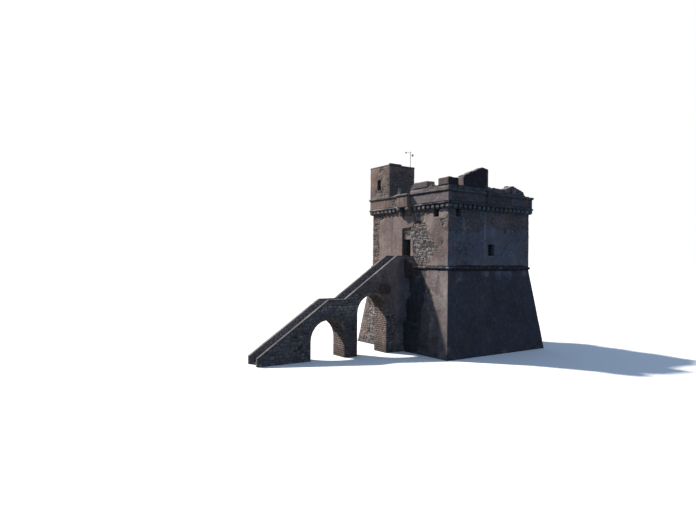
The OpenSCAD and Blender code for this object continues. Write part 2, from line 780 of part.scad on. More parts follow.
battered_base();
string_course();
front_wall_left();
front_wall_right();
front_wall_over_door();
door_sill();
door_frame();
right_wall();
back_wall();
left_wall();
main_floor();
vault();
terrace_floor();
front_corbels();
side_corbels();
front_parapet_left();
front_parapet_right();
right_parapet();
back_parapet();
left_parapet();
roll_moulding();
cornice();
door_box();
door_box_corbels();
front_merlons();
sloping_merlon();
rear_merlons();
broken_merlons();
turret_walls();
turret_roof();
mast();
stair_foot();
middle_pier();
stair_head();
lower_arch();
upper_arch();
lower_spandrel();
upper_spandrel();
lower_steps();
upper_steps();
stair_landings();
stair_guards();
stair_copings();
gate_leaf();
gate_pintles();
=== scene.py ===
"""Looks of a square coastal watchtower of rubble and tufa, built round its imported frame.

Metres. The frame's nodes stay in place as the masonry's core. Round them come the separate stones,
the lime plaster that still clings to them, the worn mouldings, corbels, merlons, steps and arches.
"""

import json
import logging
import math
from dataclasses import dataclass
from enum import Enum
from itertools import product
from typing import Callable, Sequence

import bpy
import numpy as np
from mathutils import Matrix, Vector


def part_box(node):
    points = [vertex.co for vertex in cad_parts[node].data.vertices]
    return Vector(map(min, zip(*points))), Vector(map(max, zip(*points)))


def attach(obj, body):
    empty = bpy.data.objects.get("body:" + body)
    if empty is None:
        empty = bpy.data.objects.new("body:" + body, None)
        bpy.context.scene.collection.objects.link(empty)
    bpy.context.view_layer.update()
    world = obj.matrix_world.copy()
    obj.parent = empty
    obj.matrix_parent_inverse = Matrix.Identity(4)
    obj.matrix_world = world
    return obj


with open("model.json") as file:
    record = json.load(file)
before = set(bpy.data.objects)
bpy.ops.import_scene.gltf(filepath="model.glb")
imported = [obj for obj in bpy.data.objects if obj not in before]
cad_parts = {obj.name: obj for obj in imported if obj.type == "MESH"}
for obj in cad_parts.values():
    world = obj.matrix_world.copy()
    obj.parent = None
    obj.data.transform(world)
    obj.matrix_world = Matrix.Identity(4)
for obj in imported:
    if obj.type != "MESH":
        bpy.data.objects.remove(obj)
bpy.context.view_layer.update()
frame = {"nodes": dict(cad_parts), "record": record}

log = logging.getLogger("tower")

Array = Points = np.ndarray
Pair = tuple[float, float]
Triple = tuple[float, float, float]
Counts = tuple[int, int, int]
Cutter = Callable[[Array], Array]
Test = Callable[[Points], Array]
Node, Socket, Tree = bpy.types.Node, bpy.types.NodeSocket, bpy.types.NodeTree


class Side(Enum):
    """The four sides of a square plan, in quarter turns from the entrance front."""

    FRONT = 0
    RIGHT = 1
    BACK = 2
    LEFT = 3


class Mark(Enum):
    """Kinds of mark, each one channel of a piece's marks: real stain marks and pale wash, with painted shade
    in the dark and cool channels and painted light in two pale patches.
    """

    WARM = 0
    DARK = 1
    PALE = 2
    COOL = 3


def low(node: str) -> Vector:
    """Lowest corner of a frame node's box."""
    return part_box(node)[0]


def high(node: str) -> Vector:
    """Highest corner of a frame node's box."""
    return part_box(node)[1]


@dataclass(frozen=True)
class Site:
    """Levels and faces of the tower, read from the frame's nodes, and the top of the doorway's recess."""

    foot: float = high("battered_base").x
    base_top: float = high("battered_base").z
    half: float = high("front_wall_right").x
    floor: float = high("door_sill").z
    wall_top: float = high("front_wall_left").z
    string_top: float = high("string_course").z
    corbel_foot: float = low("front_corbels").z
    edge: float = high("front_parapet_right").x
    inside: float = high("terrace_floor").x
    terrace: float = high("terrace_floor").z
    roll_top: float = high("roll_moulding").z
    cornice_foot: float = low("cornice").z
    cornice_top: float = high("cornice").z
    sill: float = high("front_parapet_right").z
    merlon_top: float = high("rear_merlons").z
    corner_top: float = high("front_merlons").z
    box_left: float = low("door_box").x
    box_right: float = high("door_box").x
    box_y: float = low("door_box").y
    recess_left: float = high("front_wall_left").x
    recess_right: float = low("front_wall_right").x
    turret_x: float = high("turret_walls").x
    turret_top: float = high("turret_walls").z
    stair_left: float = low("stair_head").x
    stair_right: float = high("stair_head").x
    stair_end: float = low("stair_guards").y
    landing: float = high("stair_landings").z
    recess_top: float = 12.64


SITE = Site()
SKY = 30.0
PLASTER_CELL = 0.1


def scatter(cells: Array, seed: int) -> Array:
    """Gives each whole-number cell a repeatable number from 0 to 1.

    Every axis is folded into a 64 bit word by an exclusive or, a multiply and a shift.

    Args:
        cells: whole numbers, one row of coordinates for each cell.
        seed: picks another set of numbers.

    Returns:
        One number for each cell.
    """
    multiplier = np.uint64(0x9E3779B97F4A7C15)
    word = np.full(cells.shape[:-1], seed + 1, np.uint64)
    for axis in range(cells.shape[-1]):
        word ^= np.ascontiguousarray(cells[..., axis], np.int64).view(np.uint64)
        word *= multiplier
        word ^= word >> np.uint64(29)
    word *= multiplier
    word ^= word >> np.uint64(32)
    return (word >> np.uint64(11)).astype(float) / 2.0**53


def noise(points: Points, size: float | Sequence[float], seed: int, octaves: int = 3) -> Array:
    """Smooth random field over space, about -1 to 1.

    Each octave blends the eight corner numbers of a lattice cube with the weight 3t^2 - 2t^3,
    and the next octave is half as large and half as strong.

    Args:
        points: places, one row of x, y and z each.
        size: width of the largest lumps, one number or one for each axis.
        seed: picks another field.
        octaves: how many layers are summed.

    Returns:
        The field at each place.
    """
    place = points / np.asarray(size, float)
    total = np.zeros(points.shape[:-1])
    strength, summed = 1.0, 0.0
    for octave in range(octaves):
        base = np.floor(place)
        part = place - base
        part = part * part * (3 - 2 * part)
        cell = base.astype(np.int64)
        layer = np.zeros_like(total)
        for corner in product((0, 1), repeat=3):
            weight = np.prod(np.where(np.array(corner) == 1, part, 1 - part), axis=-1)
            layer += weight * scatter(cell + np.array(corner), seed * 31 + octave)
        total += strength * (2 * layer - 1)
        summed += strength
        strength *= 0.5
        place = place * 2 + 17.31
    return 1.5 * total / summed


def grid(*lines: Array) -> list[Array]:
    """Every combination of the lines' values, as one flat array for each line."""
    return [axis.ravel() for axis in np.meshgrid(*lines, indexing="ij")]


def net(across: int, up: int, columns: int, rows: int) -> Array:
    """Quads between the neighbours of a grid of points that are numbered up each column in turn.

    Args:
        across: number of quads across the grid.
        up: number of quads up it.
        columns: number of columns, after which the quads come back to the first.
        rows: points in a column, after which they come back to its first.

    Returns:
        Four point numbers for each quad.
    """
    i, j = grid(np.arange(across), np.arange(up))
    after, over = (i + 1) % columns, (j + 1) % rows
    return np.stack([i * rows + j, after * rows + j, after * rows + over, i * rows + over], 1)


def smooth(value: Array, start: float, end: float) -> Array:
    """Rises from 0 at start to 1 at end along 3t^2 - 2t^3."""
    t = np.clip((value - start) / (end - start), 0, 1)
    return t * t * (3 - 2 * t)


@dataclass(frozen=True)
class Patch:
    """A soft-edged patch on the masonry: its middle, its half sizes and its strength.

    With right set it keeps to the right side, where x is greater than the distance to the middle in y.
    """

    x: float
    y: float
    z: float
    wide: float
    deep: float
    tall: float
    amount: float
    right: bool = False

    def at(self, points: Points, fray: Array) -> Array:
        """Strength of the patch at each point.

        The distance is the fourth-power norm of the offset over the half sizes, so that the outline
        is a rounded box, and fray moves that outline in and out.

        Args:
            points: places on the masonry.
            fray: how far the outline is moved, as a share of the half sizes.

        Returns:
            The strength, 0 outside the patch.
        """
        offset = (points - [self.x, self.y, self.z]) / np.array([self.wide, self.deep, self.tall])
        distance = (offset**4).sum(-1) ** 0.25
        strength = self.amount * smooth(1.2 - distance - fray, 0.0, 0.3)
        return strength * (points[..., 0] - abs(points[..., 1]) > -0.03) if self.right else strength


def patches(*rows: tuple) -> tuple[Patch, ...]:
    """Patches from rows of x, y, z, the three half sizes, the strength and, where it is set, right."""
    return tuple(Patch(*row) for row in rows)


@dataclass(frozen=True)
class WeatherAndShade:
    """Where the masonry is stained, washed pale or painted with light and shade, and where it has kept its
    plaster.
    """

    marks: tuple[tuple[Mark, tuple[Patch, ...]], ...]
    plaster: tuple[Patch, ...]
    fallen: tuple[Patch, ...]

    def stains_and_shade(self, points: Points) -> Array:
        """Strength of each kind of mark at each point, as four columns: real stain marks and painted light
        and shade.

        Args:
            points: places on the masonry.

        Returns:
            One row of four strengths for each point.
        """
        fray = 0.28 * noise(points, 0.9, 5, 3)
        columns = np.zeros((len(points), len(Mark)))
        for mark, patches in self.marks:
            for patch in patches:
                column = columns[:, mark.value]
                np.maximum(column, patch.at(points, fray), out=column)
        return columns

    def cover(self, points: Points) -> Array:
        """How much plaster is left: above 0 it still clings, below 0 the stones show.

        Args:
            points: places on the masonry.

        Returns:
            The cover at each place.
        """
        flat = points.reshape(-1, 3)
        fray = 0.2 * noise(flat, 0.7, 11, 4)
        value = -0.42 + 0.75 * noise(flat, (1.9, 1.9, 1.5), 12, 5)
        for patch in self.plaster:
            value = value + patch.at(flat, fray)
        for patch in self.fallen:
            value = value - patch.at(flat, fray)
        return value.reshape(points.shape[:-1])

    def bare(self, points: Points) -> Array:
        """True where the stones show or lie only just under the plaster."""
        return self.cover(points) < 0.1


@dataclass
class Shape:
    """Vertices and faces of part of a piece, with the values its finish reads at each vertex."""

    points: Points
    faces: list[Array]
    tone: Array
    rim: Array


def joined(shapes: Sequence[Shape]) -> Shape:
    """Puts several shapes into one, the faces' numbers moved on by the vertices before them.

    Args:
        shapes: the shapes to join.

    Returns:
        The one shape.
    """
    moved, start = [], 0
    for shape in shapes:
        moved += [face + start for face in shape.faces if len(face)]
        start += len(shape.points)
    names = ("points", "tone", "rim")
    points, tone, rim = (np.concatenate([getattr(shape, name) for shape in shapes]) for name in names)
    return Shape(points, moved, tone, rim)


def make_object(name: str, shape: Shape, weather_and_shade: WeatherAndShade) -> bpy.types.Object:
    """Writes a shape into a new mesh object.

    Args:
        name: the piece's name.
        shape: its vertices, faces and values.
        weather_and_shade: gives the marks, real stain marks and painted light and shade, that are stored at
            each vertex.

    Returns:
        The object, linked into the scene.
    """
    used = np.zeros(len(shape.points), bool)
    for face in shape.faces:
        used[face.ravel()] = True
    renumber = np.cumsum(used) - 1
    points = shape.points[used]
    faces = [renumber[face] for face in shape.faces if len(face)]
    mesh = bpy.data.meshes.new(name)
    mesh.vertices.add(len(points))
    mesh.vertices.foreach_set("co", points.astype(np.float32).ravel())
    corners = np.concatenate([face.ravel() for face in faces])
    counts = np.concatenate([np.full(len(face), face.shape[1]) for face in faces])
    mesh.loops.add(len(corners))
    mesh.loops.foreach_set("vertex_index", corners.astype(np.int32))
    mesh.polygons.add(len(counts))
    mesh.polygons.foreach_set("loop_start", (np.cumsum(counts) - counts).astype(np.int32))
    mesh.polygons.foreach_set("use_smooth", np.ones(len(counts), bool))
    mesh.update(calc_edges=True)
    for label, values in (("tone", shape.tone), ("rim", shape.rim)):
        attribute = mesh.attributes.new(label, "FLOAT", "POINT")
        attribute.data.foreach_set("value", values[used].astype(np.float32))
    marks = mesh.attributes.new("marks", "FLOAT_COLOR", "POINT")
    marks.data.foreach_set("color", weather_and_shade.stains_and_shade(points).astype(np.float32).ravel())
    thing = bpy.data.objects.new(name, mesh)
    bpy.context.scene.collection.objects.link(thing)
    return thing


@dataclass(frozen=True)
class Bond:
    """How the stones of a face are laid. Lengths in metres, the rest as shares."""

    course: float
    length: float
    course_vary: float
    length_vary: float
    wave: float
    lean: float
    split: float
    joint: float
    proud: float
    crown: float
    rough: float
    corner: float


RUBBLE = Bond(0.36, 0.50, 0.42, 0.60, 0.55, 0.32, 0.42, 0.022, 0.012, 0.55, 0.0045, 0.75)
SQUARED = Bond(0.30, 0.54, 0.16, 0.35, 0.07, 0.04, 0.10, 0.016, 0.011, 0.20, 0.0022, 0.25)
COARSE = Bond(0.28, 0.46, 0.34, 0.55, 0.30, 0.18, 0.36, 0.022, 0.014, 0.45, 0.0050, 0.60)
TUFA = Bond(0.20, 0.46, 0.12, 0.30, 0.05, 0.03, 0.04, 0.009, 0.008, 0.25, 0.0022, 0.20)
PAVING = Bond(0.46, 0.70, 0.16, 0.30, 0.04, 0.04, 0.10, 0.014, 0.012, 0.20, 0.0015, 0.12)
END_STONES = Bond(0.3, 0.6, 0.2, 0.2, 0.05, 0.05, 0.0, 0.012, 0.012, 0.2, 0.002, 0.2)


def lay(width: float, height: float, bond: Bond, seed: int) -> Array:
    """Lays stones in courses over a rectangle.

    The courses' heights and the stones' lengths vary at random, each bed joint is a level line plus
    two sine waves of x, upright joints lean, and a share of the stones are split in two.

    Args:
        width: size of the rectangle along u.
        height: its size along v.
        bond: how the stones are laid.
        seed: picks another lay.

    Returns:
        The corners of each stone, four pairs of u and v, starting low and left.
    """
    rng = np.random.default_rng(seed)
    rows = max(1, round(height / bond.course))
    heights = 1 + bond.course_vary * rng.uniform(-1, 1, rows)
    beds = np.concatenate(([0.0], np.cumsum(heights))) * height / heights.sum()
    columns = math.ceil(1.3 * width / bond.length) + 4
    lengths = bond.length * (1 + bond.length_vary * rng.uniform(-1, 1, (rows, columns)))
    ends = np.cumsum(lengths, axis=1) - bond.length * rng.uniform(1.7, 2.9, (rows, 1))
    lean = bond.lean * bond.length * rng.uniform(-0.5, 0.5, ends.shape)
    phase = rng.uniform(0, 2 * math.pi, (2, rows + 1))
    size = bond.wave * bond.course * np.ones(rows + 1)
    size[[0, -1]] = 0

    def bed(number: Array, x: Array) -> Array:
        """Height of a bed joint at x."""
        slow = np.sin(2.3 * x / bond.length + phase[0][number])
        return beds[number] + 0.5 * size[number] * (slow + np.sin(4.1 * x / bond.length + phase[1][number]))

    row = np.arange(rows)[:, None] * np.ones(columns - 1, int)
    foot, head = ends + lean, ends - lean
    corners = [
        np.stack([foot[:, :-1], bed(row, foot[:, :-1])], -1),
        np.stack([foot[:, 1:], bed(row, foot[:, 1:])], -1),
        np.stack([head[:, 1:], bed(row + 1, head[:, 1:])], -1),
        np.stack([head[:, :-1], bed(row + 1, head[:, :-1])], -1),
    ]
    cells = np.stack(corners, -2).reshape(-1, 4, 2)
    chance = rng.uniform(0, 1, len(cells))
    share = rng.uniform(0.35, 0.65, (len(cells), 1))
    a, b, c, d = (cells[:, k] for k in range(4))
    stacked = chance < bond.split / 2
    paired = (chance >= bond.split / 2) & (chance < bond.split)
    left, right = a + share * (d - a), b + share * (c - b)
    under, over = a + share * (b - a), d + share * (c - d)
    cells = np.concatenate([
        cells[~(stacked | paired)],
        np.stack([a, b, right, left], 1)[stacked],
        np.stack([left, right, c, d], 1)[stacked],
        np.stack([a, under, over, d], 1)[paired],
        np.stack([under, b, c, over], 1)[paired],
    ])
    cells[..., 0] = np.clip(cells[..., 0], 0, width)
    return sound(cells)


def sound(cells: Array, least: float = 0.06) -> Array:
    """Drops the stones that cutting has left narrower than the least size.

    Args:
        cells: corners of each stone.
        least: least width that is kept.

    Returns:
        The stones that are left.
    """
    span = cells.max(1) - cells.min(1)
    x, y = cells[..., 0], cells[..., 1]
    area = 0.5 * np.abs((x * np.roll(y, -1, 1) - y * np.roll(x, -1, 1)).sum(1))
    return cells[(span.min(1) > least) & (area > 0.45 * least * span.max(1))]


def around(start: Pair, end: Pair) -> Cutter:
    """Cutter that keeps stones out of a rectangle, each on the side where most of it is kept.

    Args:
        start: the rectangle's lowest u and v.
        end: its highest u and v.

    Returns:
        The cutter.
    """

    def cut(cells: Array) -> Array:
        """Pushes the corners of the stones that overlap out to one edge.

        Args:
            cells: corners of each stone.

        Returns:
            The stones clear of the rectangle.
        """
        cells = cells.copy()
        least, most = cells.min(1), cells.max(1)
        hit = ((most > np.array(start)) & (least < np.array(end))).all(1)
        under, over = start - least, most - end
        best = np.stack([under[:, 0], over[:, 0], under[:, 1], over[:, 1]]).argmax(0)
        for choice in range(4):
            axis, beyond = divmod(choice, 2)
            chosen = hit & (best == choice)
            keep, limit = (np.maximum, end) if beyond else (np.minimum, start)
            cells[chosen, :, axis] = keep(cells[chosen, :, axis], limit[axis])
        return sound(cells)

    return cut


def within(axis: int, bound: Callable[[Array], Array], below: bool = True) -> Cutter:
    """Cutter that holds one coordinate of every corner under, or over, a bound that the other one sets.

    Args:
        axis: the coordinate that is held.
        bound: gives its limit for each value of the other one.
        below: holds it under the limit, and not over it.

    Returns:
        The cutter.
    """

    def cut(cells: Array) -> Array:
        """Clamps the coordinate.

        Args:
            cells: corners of each stone.

        Returns:
            The stones on the kept side of the line.
        """
        cells = cells.copy()
        keep = np.minimum if below else np.maximum
        cells[..., axis] = keep(cells[..., axis], bound(cells[..., 1 - axis]))
        return sound(cells)

    return cut


def off_arch(middle: Pair, radius: float, jamb: float) -> Cutter:
    """Cutter for an arch: out along the radius above its springing, and sideways below it.

    Args:
        middle: u and v of the arch's centre.
        radius: outer radius of the arch's ring of stones.
        jamb: half width of the opening below the springing.

    Returns:
        The cutter.
    """
    sides = around((middle[0] - jamb, -9.0), (middle[0] + jamb, middle[1]))

    def cut(cells: Array) -> Array:
        """Moves the corners inside the ring out to it.

        Args:
            cells: corners of each stone.

        Returns:
            The stones outside the ring.
        """
        cells = sides(cells)
        offset = cells - np.array(middle)
        distance = np.linalg.norm(offset, axis=-1)
        inside = (distance < radius) & (offset[..., 1] > -0.02)
        moved = np.array(middle) + offset * (radius / np.maximum(distance, 1e-6))[..., None]
        return sound(np.where(inside[..., None], moved, cells)[~inside.all(1)])

    return cut


def pillows(cells: Array, place: Callable, bond: Bond, seed: int, fine: bool = True) -> Shape:
    """Turns laid stones into closed cushions of stone that stand proud of the wall.

    Each stone is a grid of s and t from -1 to 1 over its four corners. The map s to s sqrt(1 - c t^2 / 2)
    rounds its corners, its face falls off with s^2 + t^2, and the grid's outer ring lies inside the wall.

    Args:
        cells: the stones' corners in u and v.
        place: turns u, v and the distance from the wall into places.
        bond: how the stones are laid.
        seed: picks the stones' tones and tilts.
        fine: gives each stone five rows of points and not four.

    Returns:
        All the stones as one shape.
    """
    rng = np.random.default_rng(seed + 7)
    rows = 5 if fine else 4
    line = np.array([-1, -0.8, 0, 0.8, 1]) if fine else np.array([-1, -0.78, 0.78, 1])
    s, t = grid(line, line)
    edge = np.maximum(abs(s), abs(t)) == 1
    across = s * np.sqrt(1 - bond.corner * t**2 / 2)
    up = t * np.sqrt(1 - bond.corner * s**2 / 2)
    weights = np.stack([(1 - across) * (1 - up), (1 + across) * (1 - up),
                        (1 + across) * (1 + up), (1 - across) * (1 + up)], 1) / 4
    span = cells.max(1) - cells.min(1)
    middle = cells.mean(1, keepdims=True)
    joint = bond.joint * rng.uniform(0.5, 1.5, (len(cells), 1))
    shrunk = middle + (cells - middle) * np.clip(1 - joint / span, 0.45, 1)[:, None]
    uv = np.einsum("gk,nkd->ngd", weights, shrunk)
    lift = bond.proud * rng.uniform(0.3, 1.0, (len(cells), 1))
    tilt = 0.25 * bond.proud * rng.normal(0, 1, (2, len(cells), 1))
    out = lift * (1 - bond.crown * (s**2 + t**2) / 2) + tilt[0] * s + tilt[1] * t
    out += bond.rough * rng.normal(0, 1, out.shape)
    out = np.where(edge, -0.012, np.maximum(out, 0.004))
    points = place(uv[..., 0], uv[..., 1], out).reshape(-1, 3)
    last = rows - 1
    quad = net(last, last, rows, rows)
    k = np.arange(last)
    ring = np.concatenate([k, k * rows + last, last * rows + last - k, (last - k) * rows])
    starts = np.arange(len(cells))[:, None] * rows * rows
    faces = [(starts[:, :, None] + quad).reshape(-1, 4), starts + ring]
    tone = np.repeat(rng.uniform(0, 1, len(cells)), rows * rows)
    return Shape(points, faces, tone, np.tile(np.where(edge, 1.0, 0.0), len(cells)))


def block_lattice(counts: Counts) -> tuple[Array, Array]:
    """Points and faces of a box's skin, divided into cells.

    Args:
        counts: number of cells along each axis.

    Returns:
        The whole-number lattice points on the skin, and the quads between them facing outwards.
    """
    size = np.array(counts) + 1
    lattice = np.stack(grid(*(np.arange(n) for n in size)), -1)
    on_skin = ((lattice == 0) | (lattice == np.array(counts))).any(1)
    number = np.cumsum(on_skin) - 1
    flat = np.array([size[1] * size[2], size[2], 1])
    quads = []
    for axis in range(3):
        a, b = (axis + 1) % 3, (axis + 2) % 3
        i, j = grid(np.arange(counts[a]), np.arange(counts[b]))
        for end in (0, counts[axis]):
            start = end * flat[axis] + i * flat[a] + j * flat[b]
            quad = np.stack([start, start + flat[a], start + flat[a] + flat[b], start + flat[b]], 1)
            quads.append(number[quad if end else quad[:, ::-1]])
    return lattice[on_skin], np.concatenate(quads)


def blocks(sizes: Array, counts: Counts, bevel: float, rough: float, seed: int,
           place: Callable[[Array, Array], Array]) -> Shape:
    """Makes worn blocks with rounded edges.

    A point p of the box is drawn in to q + bevel (p - q) / |p - q|, where q is the nearest point of the
    box that is smaller by the bevel all round, and is then shifted by a random field.

    Args:
        sizes: length, width and height of each block.
        counts: cells along each axis, two of them taken by the bevels.
        bevel: radius of the rounded edges.
        rough: how far the field shifts the faces.
        seed: picks the field and the tones.
        place: turns a block's number and its points, measured from its low corner, into places.

    Returns:
        All the blocks as one shape.
    """
    rng = np.random.default_rng(seed)
    lattice, quads = block_lattice(counts)
    top = np.array(counts)
    size = np.asarray(sizes, float)[:, None, :]
    edge = np.minimum(bevel, 0.3 * size)
    share = (lattice - 1) / np.maximum(top - 2, 1)
    points = np.where(lattice == 0, 0.0, np.where(lattice == top, size, edge + (size - 2 * edge) * share))
    near = np.clip(points, edge, size - edge)
    away = points - near
    reach = np.linalg.norm(away, axis=-1, keepdims=True)
    points = near + away * (edge.max(-1, keepdims=True) / np.maximum(reach, 1e-9))
    number = np.arange(len(size))[:, None] * np.ones(points.shape[1], int)
    flat = place(number, points).reshape(-1, 3)
    flat = flat + rough * np.stack([noise(flat, 0.2, seed + k, 3) for k in range(3)], -1)
    starts = np.arange(len(size))[:, None, None] * len(lattice)
    tone = np.repeat(rng.uniform(0, 1, len(size)), len(lattice))
    return Shape(flat, [(starts + quads).reshape(-1, 4)], tone, np.zeros(len(flat)))


def worn_boxes(lows: Sequence[Sequence[float]], highs: Sequence[Sequence[float]], counts: Counts,
               bevel: float, rough: float, seed: int) -> Shape:
    """Worn blocks that fill upright boxes, given by their lowest and highest corners."""
    start, end = np.asarray(lows, float), np.asarray(highs, float)
    return blocks(end - start, counts, bevel, rough, seed, lambda number, p: start[number] + p)


def turned(spots: Sequence[Sequence[float]], profile: Sequence[Pair], axis: int, sides: int = 12) -> Shape:
    """Turns a small part about an axis at each spot.

    A point is the spot plus r cos(a) and r sin(a) along two axes and w along the third, for each
    radius r and distance w of the profile. Its first and last rings are closed flat.

    Args:
        spots: where the parts' own centres stand.
        profile: radius and distance along the axis of each ring, the distance rising.
        axis: the axis that they are turned about.
        sides: points on a ring.

    Returns:
        All the parts.
    """
    radius, along = np.array(profile, float).T
    angle = 2 * math.pi * np.arange(sides) / sides
    local = np.zeros((len(profile), sides, 3))
    local[..., (axis + 1) % 3] = radius[:, None] * np.cos(angle)
    local[..., (axis + 2) % 3] = radius[:, None] * np.sin(angle)
    local[..., axis] = along[:, None]
    points = np.asarray(spots, float)[:, None, :] + local.reshape(-1, 3)
    last = len(profile) - 1
    quad = net(last, sides, len(profile), sides)[:, [0, 3, 2, 1]]
    ring = np.arange(sides)
    starts = np.arange(len(points))[:, None] * len(profile) * sides
    faces = [(starts[:, :, None] + quad).reshape(-1, 4), starts + ring[::-1], starts + last * sides + ring]
    flat = points.reshape(-1, 3)
    return Shape(flat, faces, np.full(len(flat), 0.5), np.zeros(len(flat)))


def stations(start: float, end: float, step: float, cuts: Sequence[float] = ()) -> Array:
    """Divides a length into steps of about the given size, with a division at each cut.

    Args:
        start: first place.
        end: last place.
        step: size aimed at.
        cuts: places that get a division of their own.

    Returns:
        The places, from start to end.
    """
    marks = sorted({start, end, *(cut for cut in cuts if start < cut < end)})
    spans = [np.linspace(a, b, max(1, round((b - a) / step)) + 1)[:-1] for a, b in zip(marks, marks[1:])]
    return np.concatenate([*spans, [end]])


def sheet(place: Callable, u: Array, v: Array, there: Array, cover: Test, thick: float,
          worn: Array | float, seed: int) -> Shape:
    """Plaster over a grid of places, left out where it has fallen.

    Each point stands in front of the wall by thick times a smooth rise of the cover, less where the
    corner is worn, plus a slow random swell and a fine one.

    Args:
        place: turns u, v and the distance from the wall into places.
        u: first coordinate of the grid.
        v: its second coordinate.
        there: which quads may carry plaster. As many columns as the grid has closes it into a ring.
        cover: how much plaster is left at a place.
        thick: thickness of sound plaster.
        worn: share of the thickness lost at each point.
        seed: picks the swell.

    Returns:
        The plaster's face.
    """
    base = place(u, v, 0 * u)
    left = cover(base)
    swell = noise(base, 1.1, seed, 3)
    grain = noise(base, 0.17, seed + 9, 2)
    out = thick * (0.25 + 0.75 * smooth(left, 0.0, 0.4)) * (1 - worn) + 0.008 * swell + 0.003 * grain
    points = place(u, v, np.maximum(out, 0.004))
    columns, rows = u.shape
    quads = net(len(there), rows - 1, columns, rows)
    quads = quads[there.ravel() & (left.ravel()[quads].mean(1) > 0)]
    thin = 1 - smooth(left, 0.0, 0.9)
    return Shape(points.reshape(-1, 3), [quads], 0.5 + 0.5 * swell.ravel(), thin.ravel())


@dataclass(frozen=True)
class Face:
    """A flat face of masonry, with u along it, v up it and the distance taken outwards."""

    origin: Triple
    along: Triple
    up: Triple
    width: float
    height: float

    def place(self, u: Array, v: Array, out: Array) -> Points:
        """Origin plus u, v and out times the face's three axes."""
        start, a, b = (np.array(v, float) for v in (self.origin, self.along, self.up))
        return start + u[..., None] * a + v[..., None] * b + out[..., None] * np.cross(a, b)

    def stones(self, bond: Bond, seed: int, cutters: Sequence[Cutter] = (), keep: Test | None = None,
               fine: bool = True) -> Shape:
        """Lays stones on the face.

        Args:
            bond: how they are laid.
            seed: picks the lay.
            cutters: cut the stones back from edges and openings.
            keep: says, for the stones' middles, which are there.
            fine: gives each stone more points.

        Returns:
            The stones.
        """
        cells = lay(self.width, self.height, bond, seed)
        for cut in cutters:
            cells = cut(cells)
        if keep is not None:
            middle = cells.mean(1)
            cells = cells[keep(self.place(middle[:, 0], middle[:, 1], 0 * middle[:, 0]))]
        return pillows(cells, self.place, bond, seed, fine)

    def plaster(self, thick: float, cover: Test, inside: Callable, seed: int) -> Shape:
        """Plaster on the part of the face where inside, a test of u and v, holds.

        Args:
            thick: thickness of the coat.
            cover: how much plaster a place still has.
            inside: test of u and v.
            seed: number that the random draws start from.

        Returns:
            The coat.
        """
        across, up = (stations(0, size, PLASTER_CELL) for size in (self.width, self.height))
        u, v = np.meshgrid(across, up, indexing="ij")
        there = inside((u[1:, 1:] + u[:-1, :-1]) / 2, (v[1:, 1:] + v[:-1, :-1]) / 2)
        return sheet(self.place, u, v, there, cover, thick, 0.0, seed)


@dataclass(frozen=True)
class Opening:
    """A rectangle on one side of a ring that stays clear of stones and plaster."""

    side: Side
    u0: float
    u1: float
    z0: float = 0.0
    z1: float = SKY


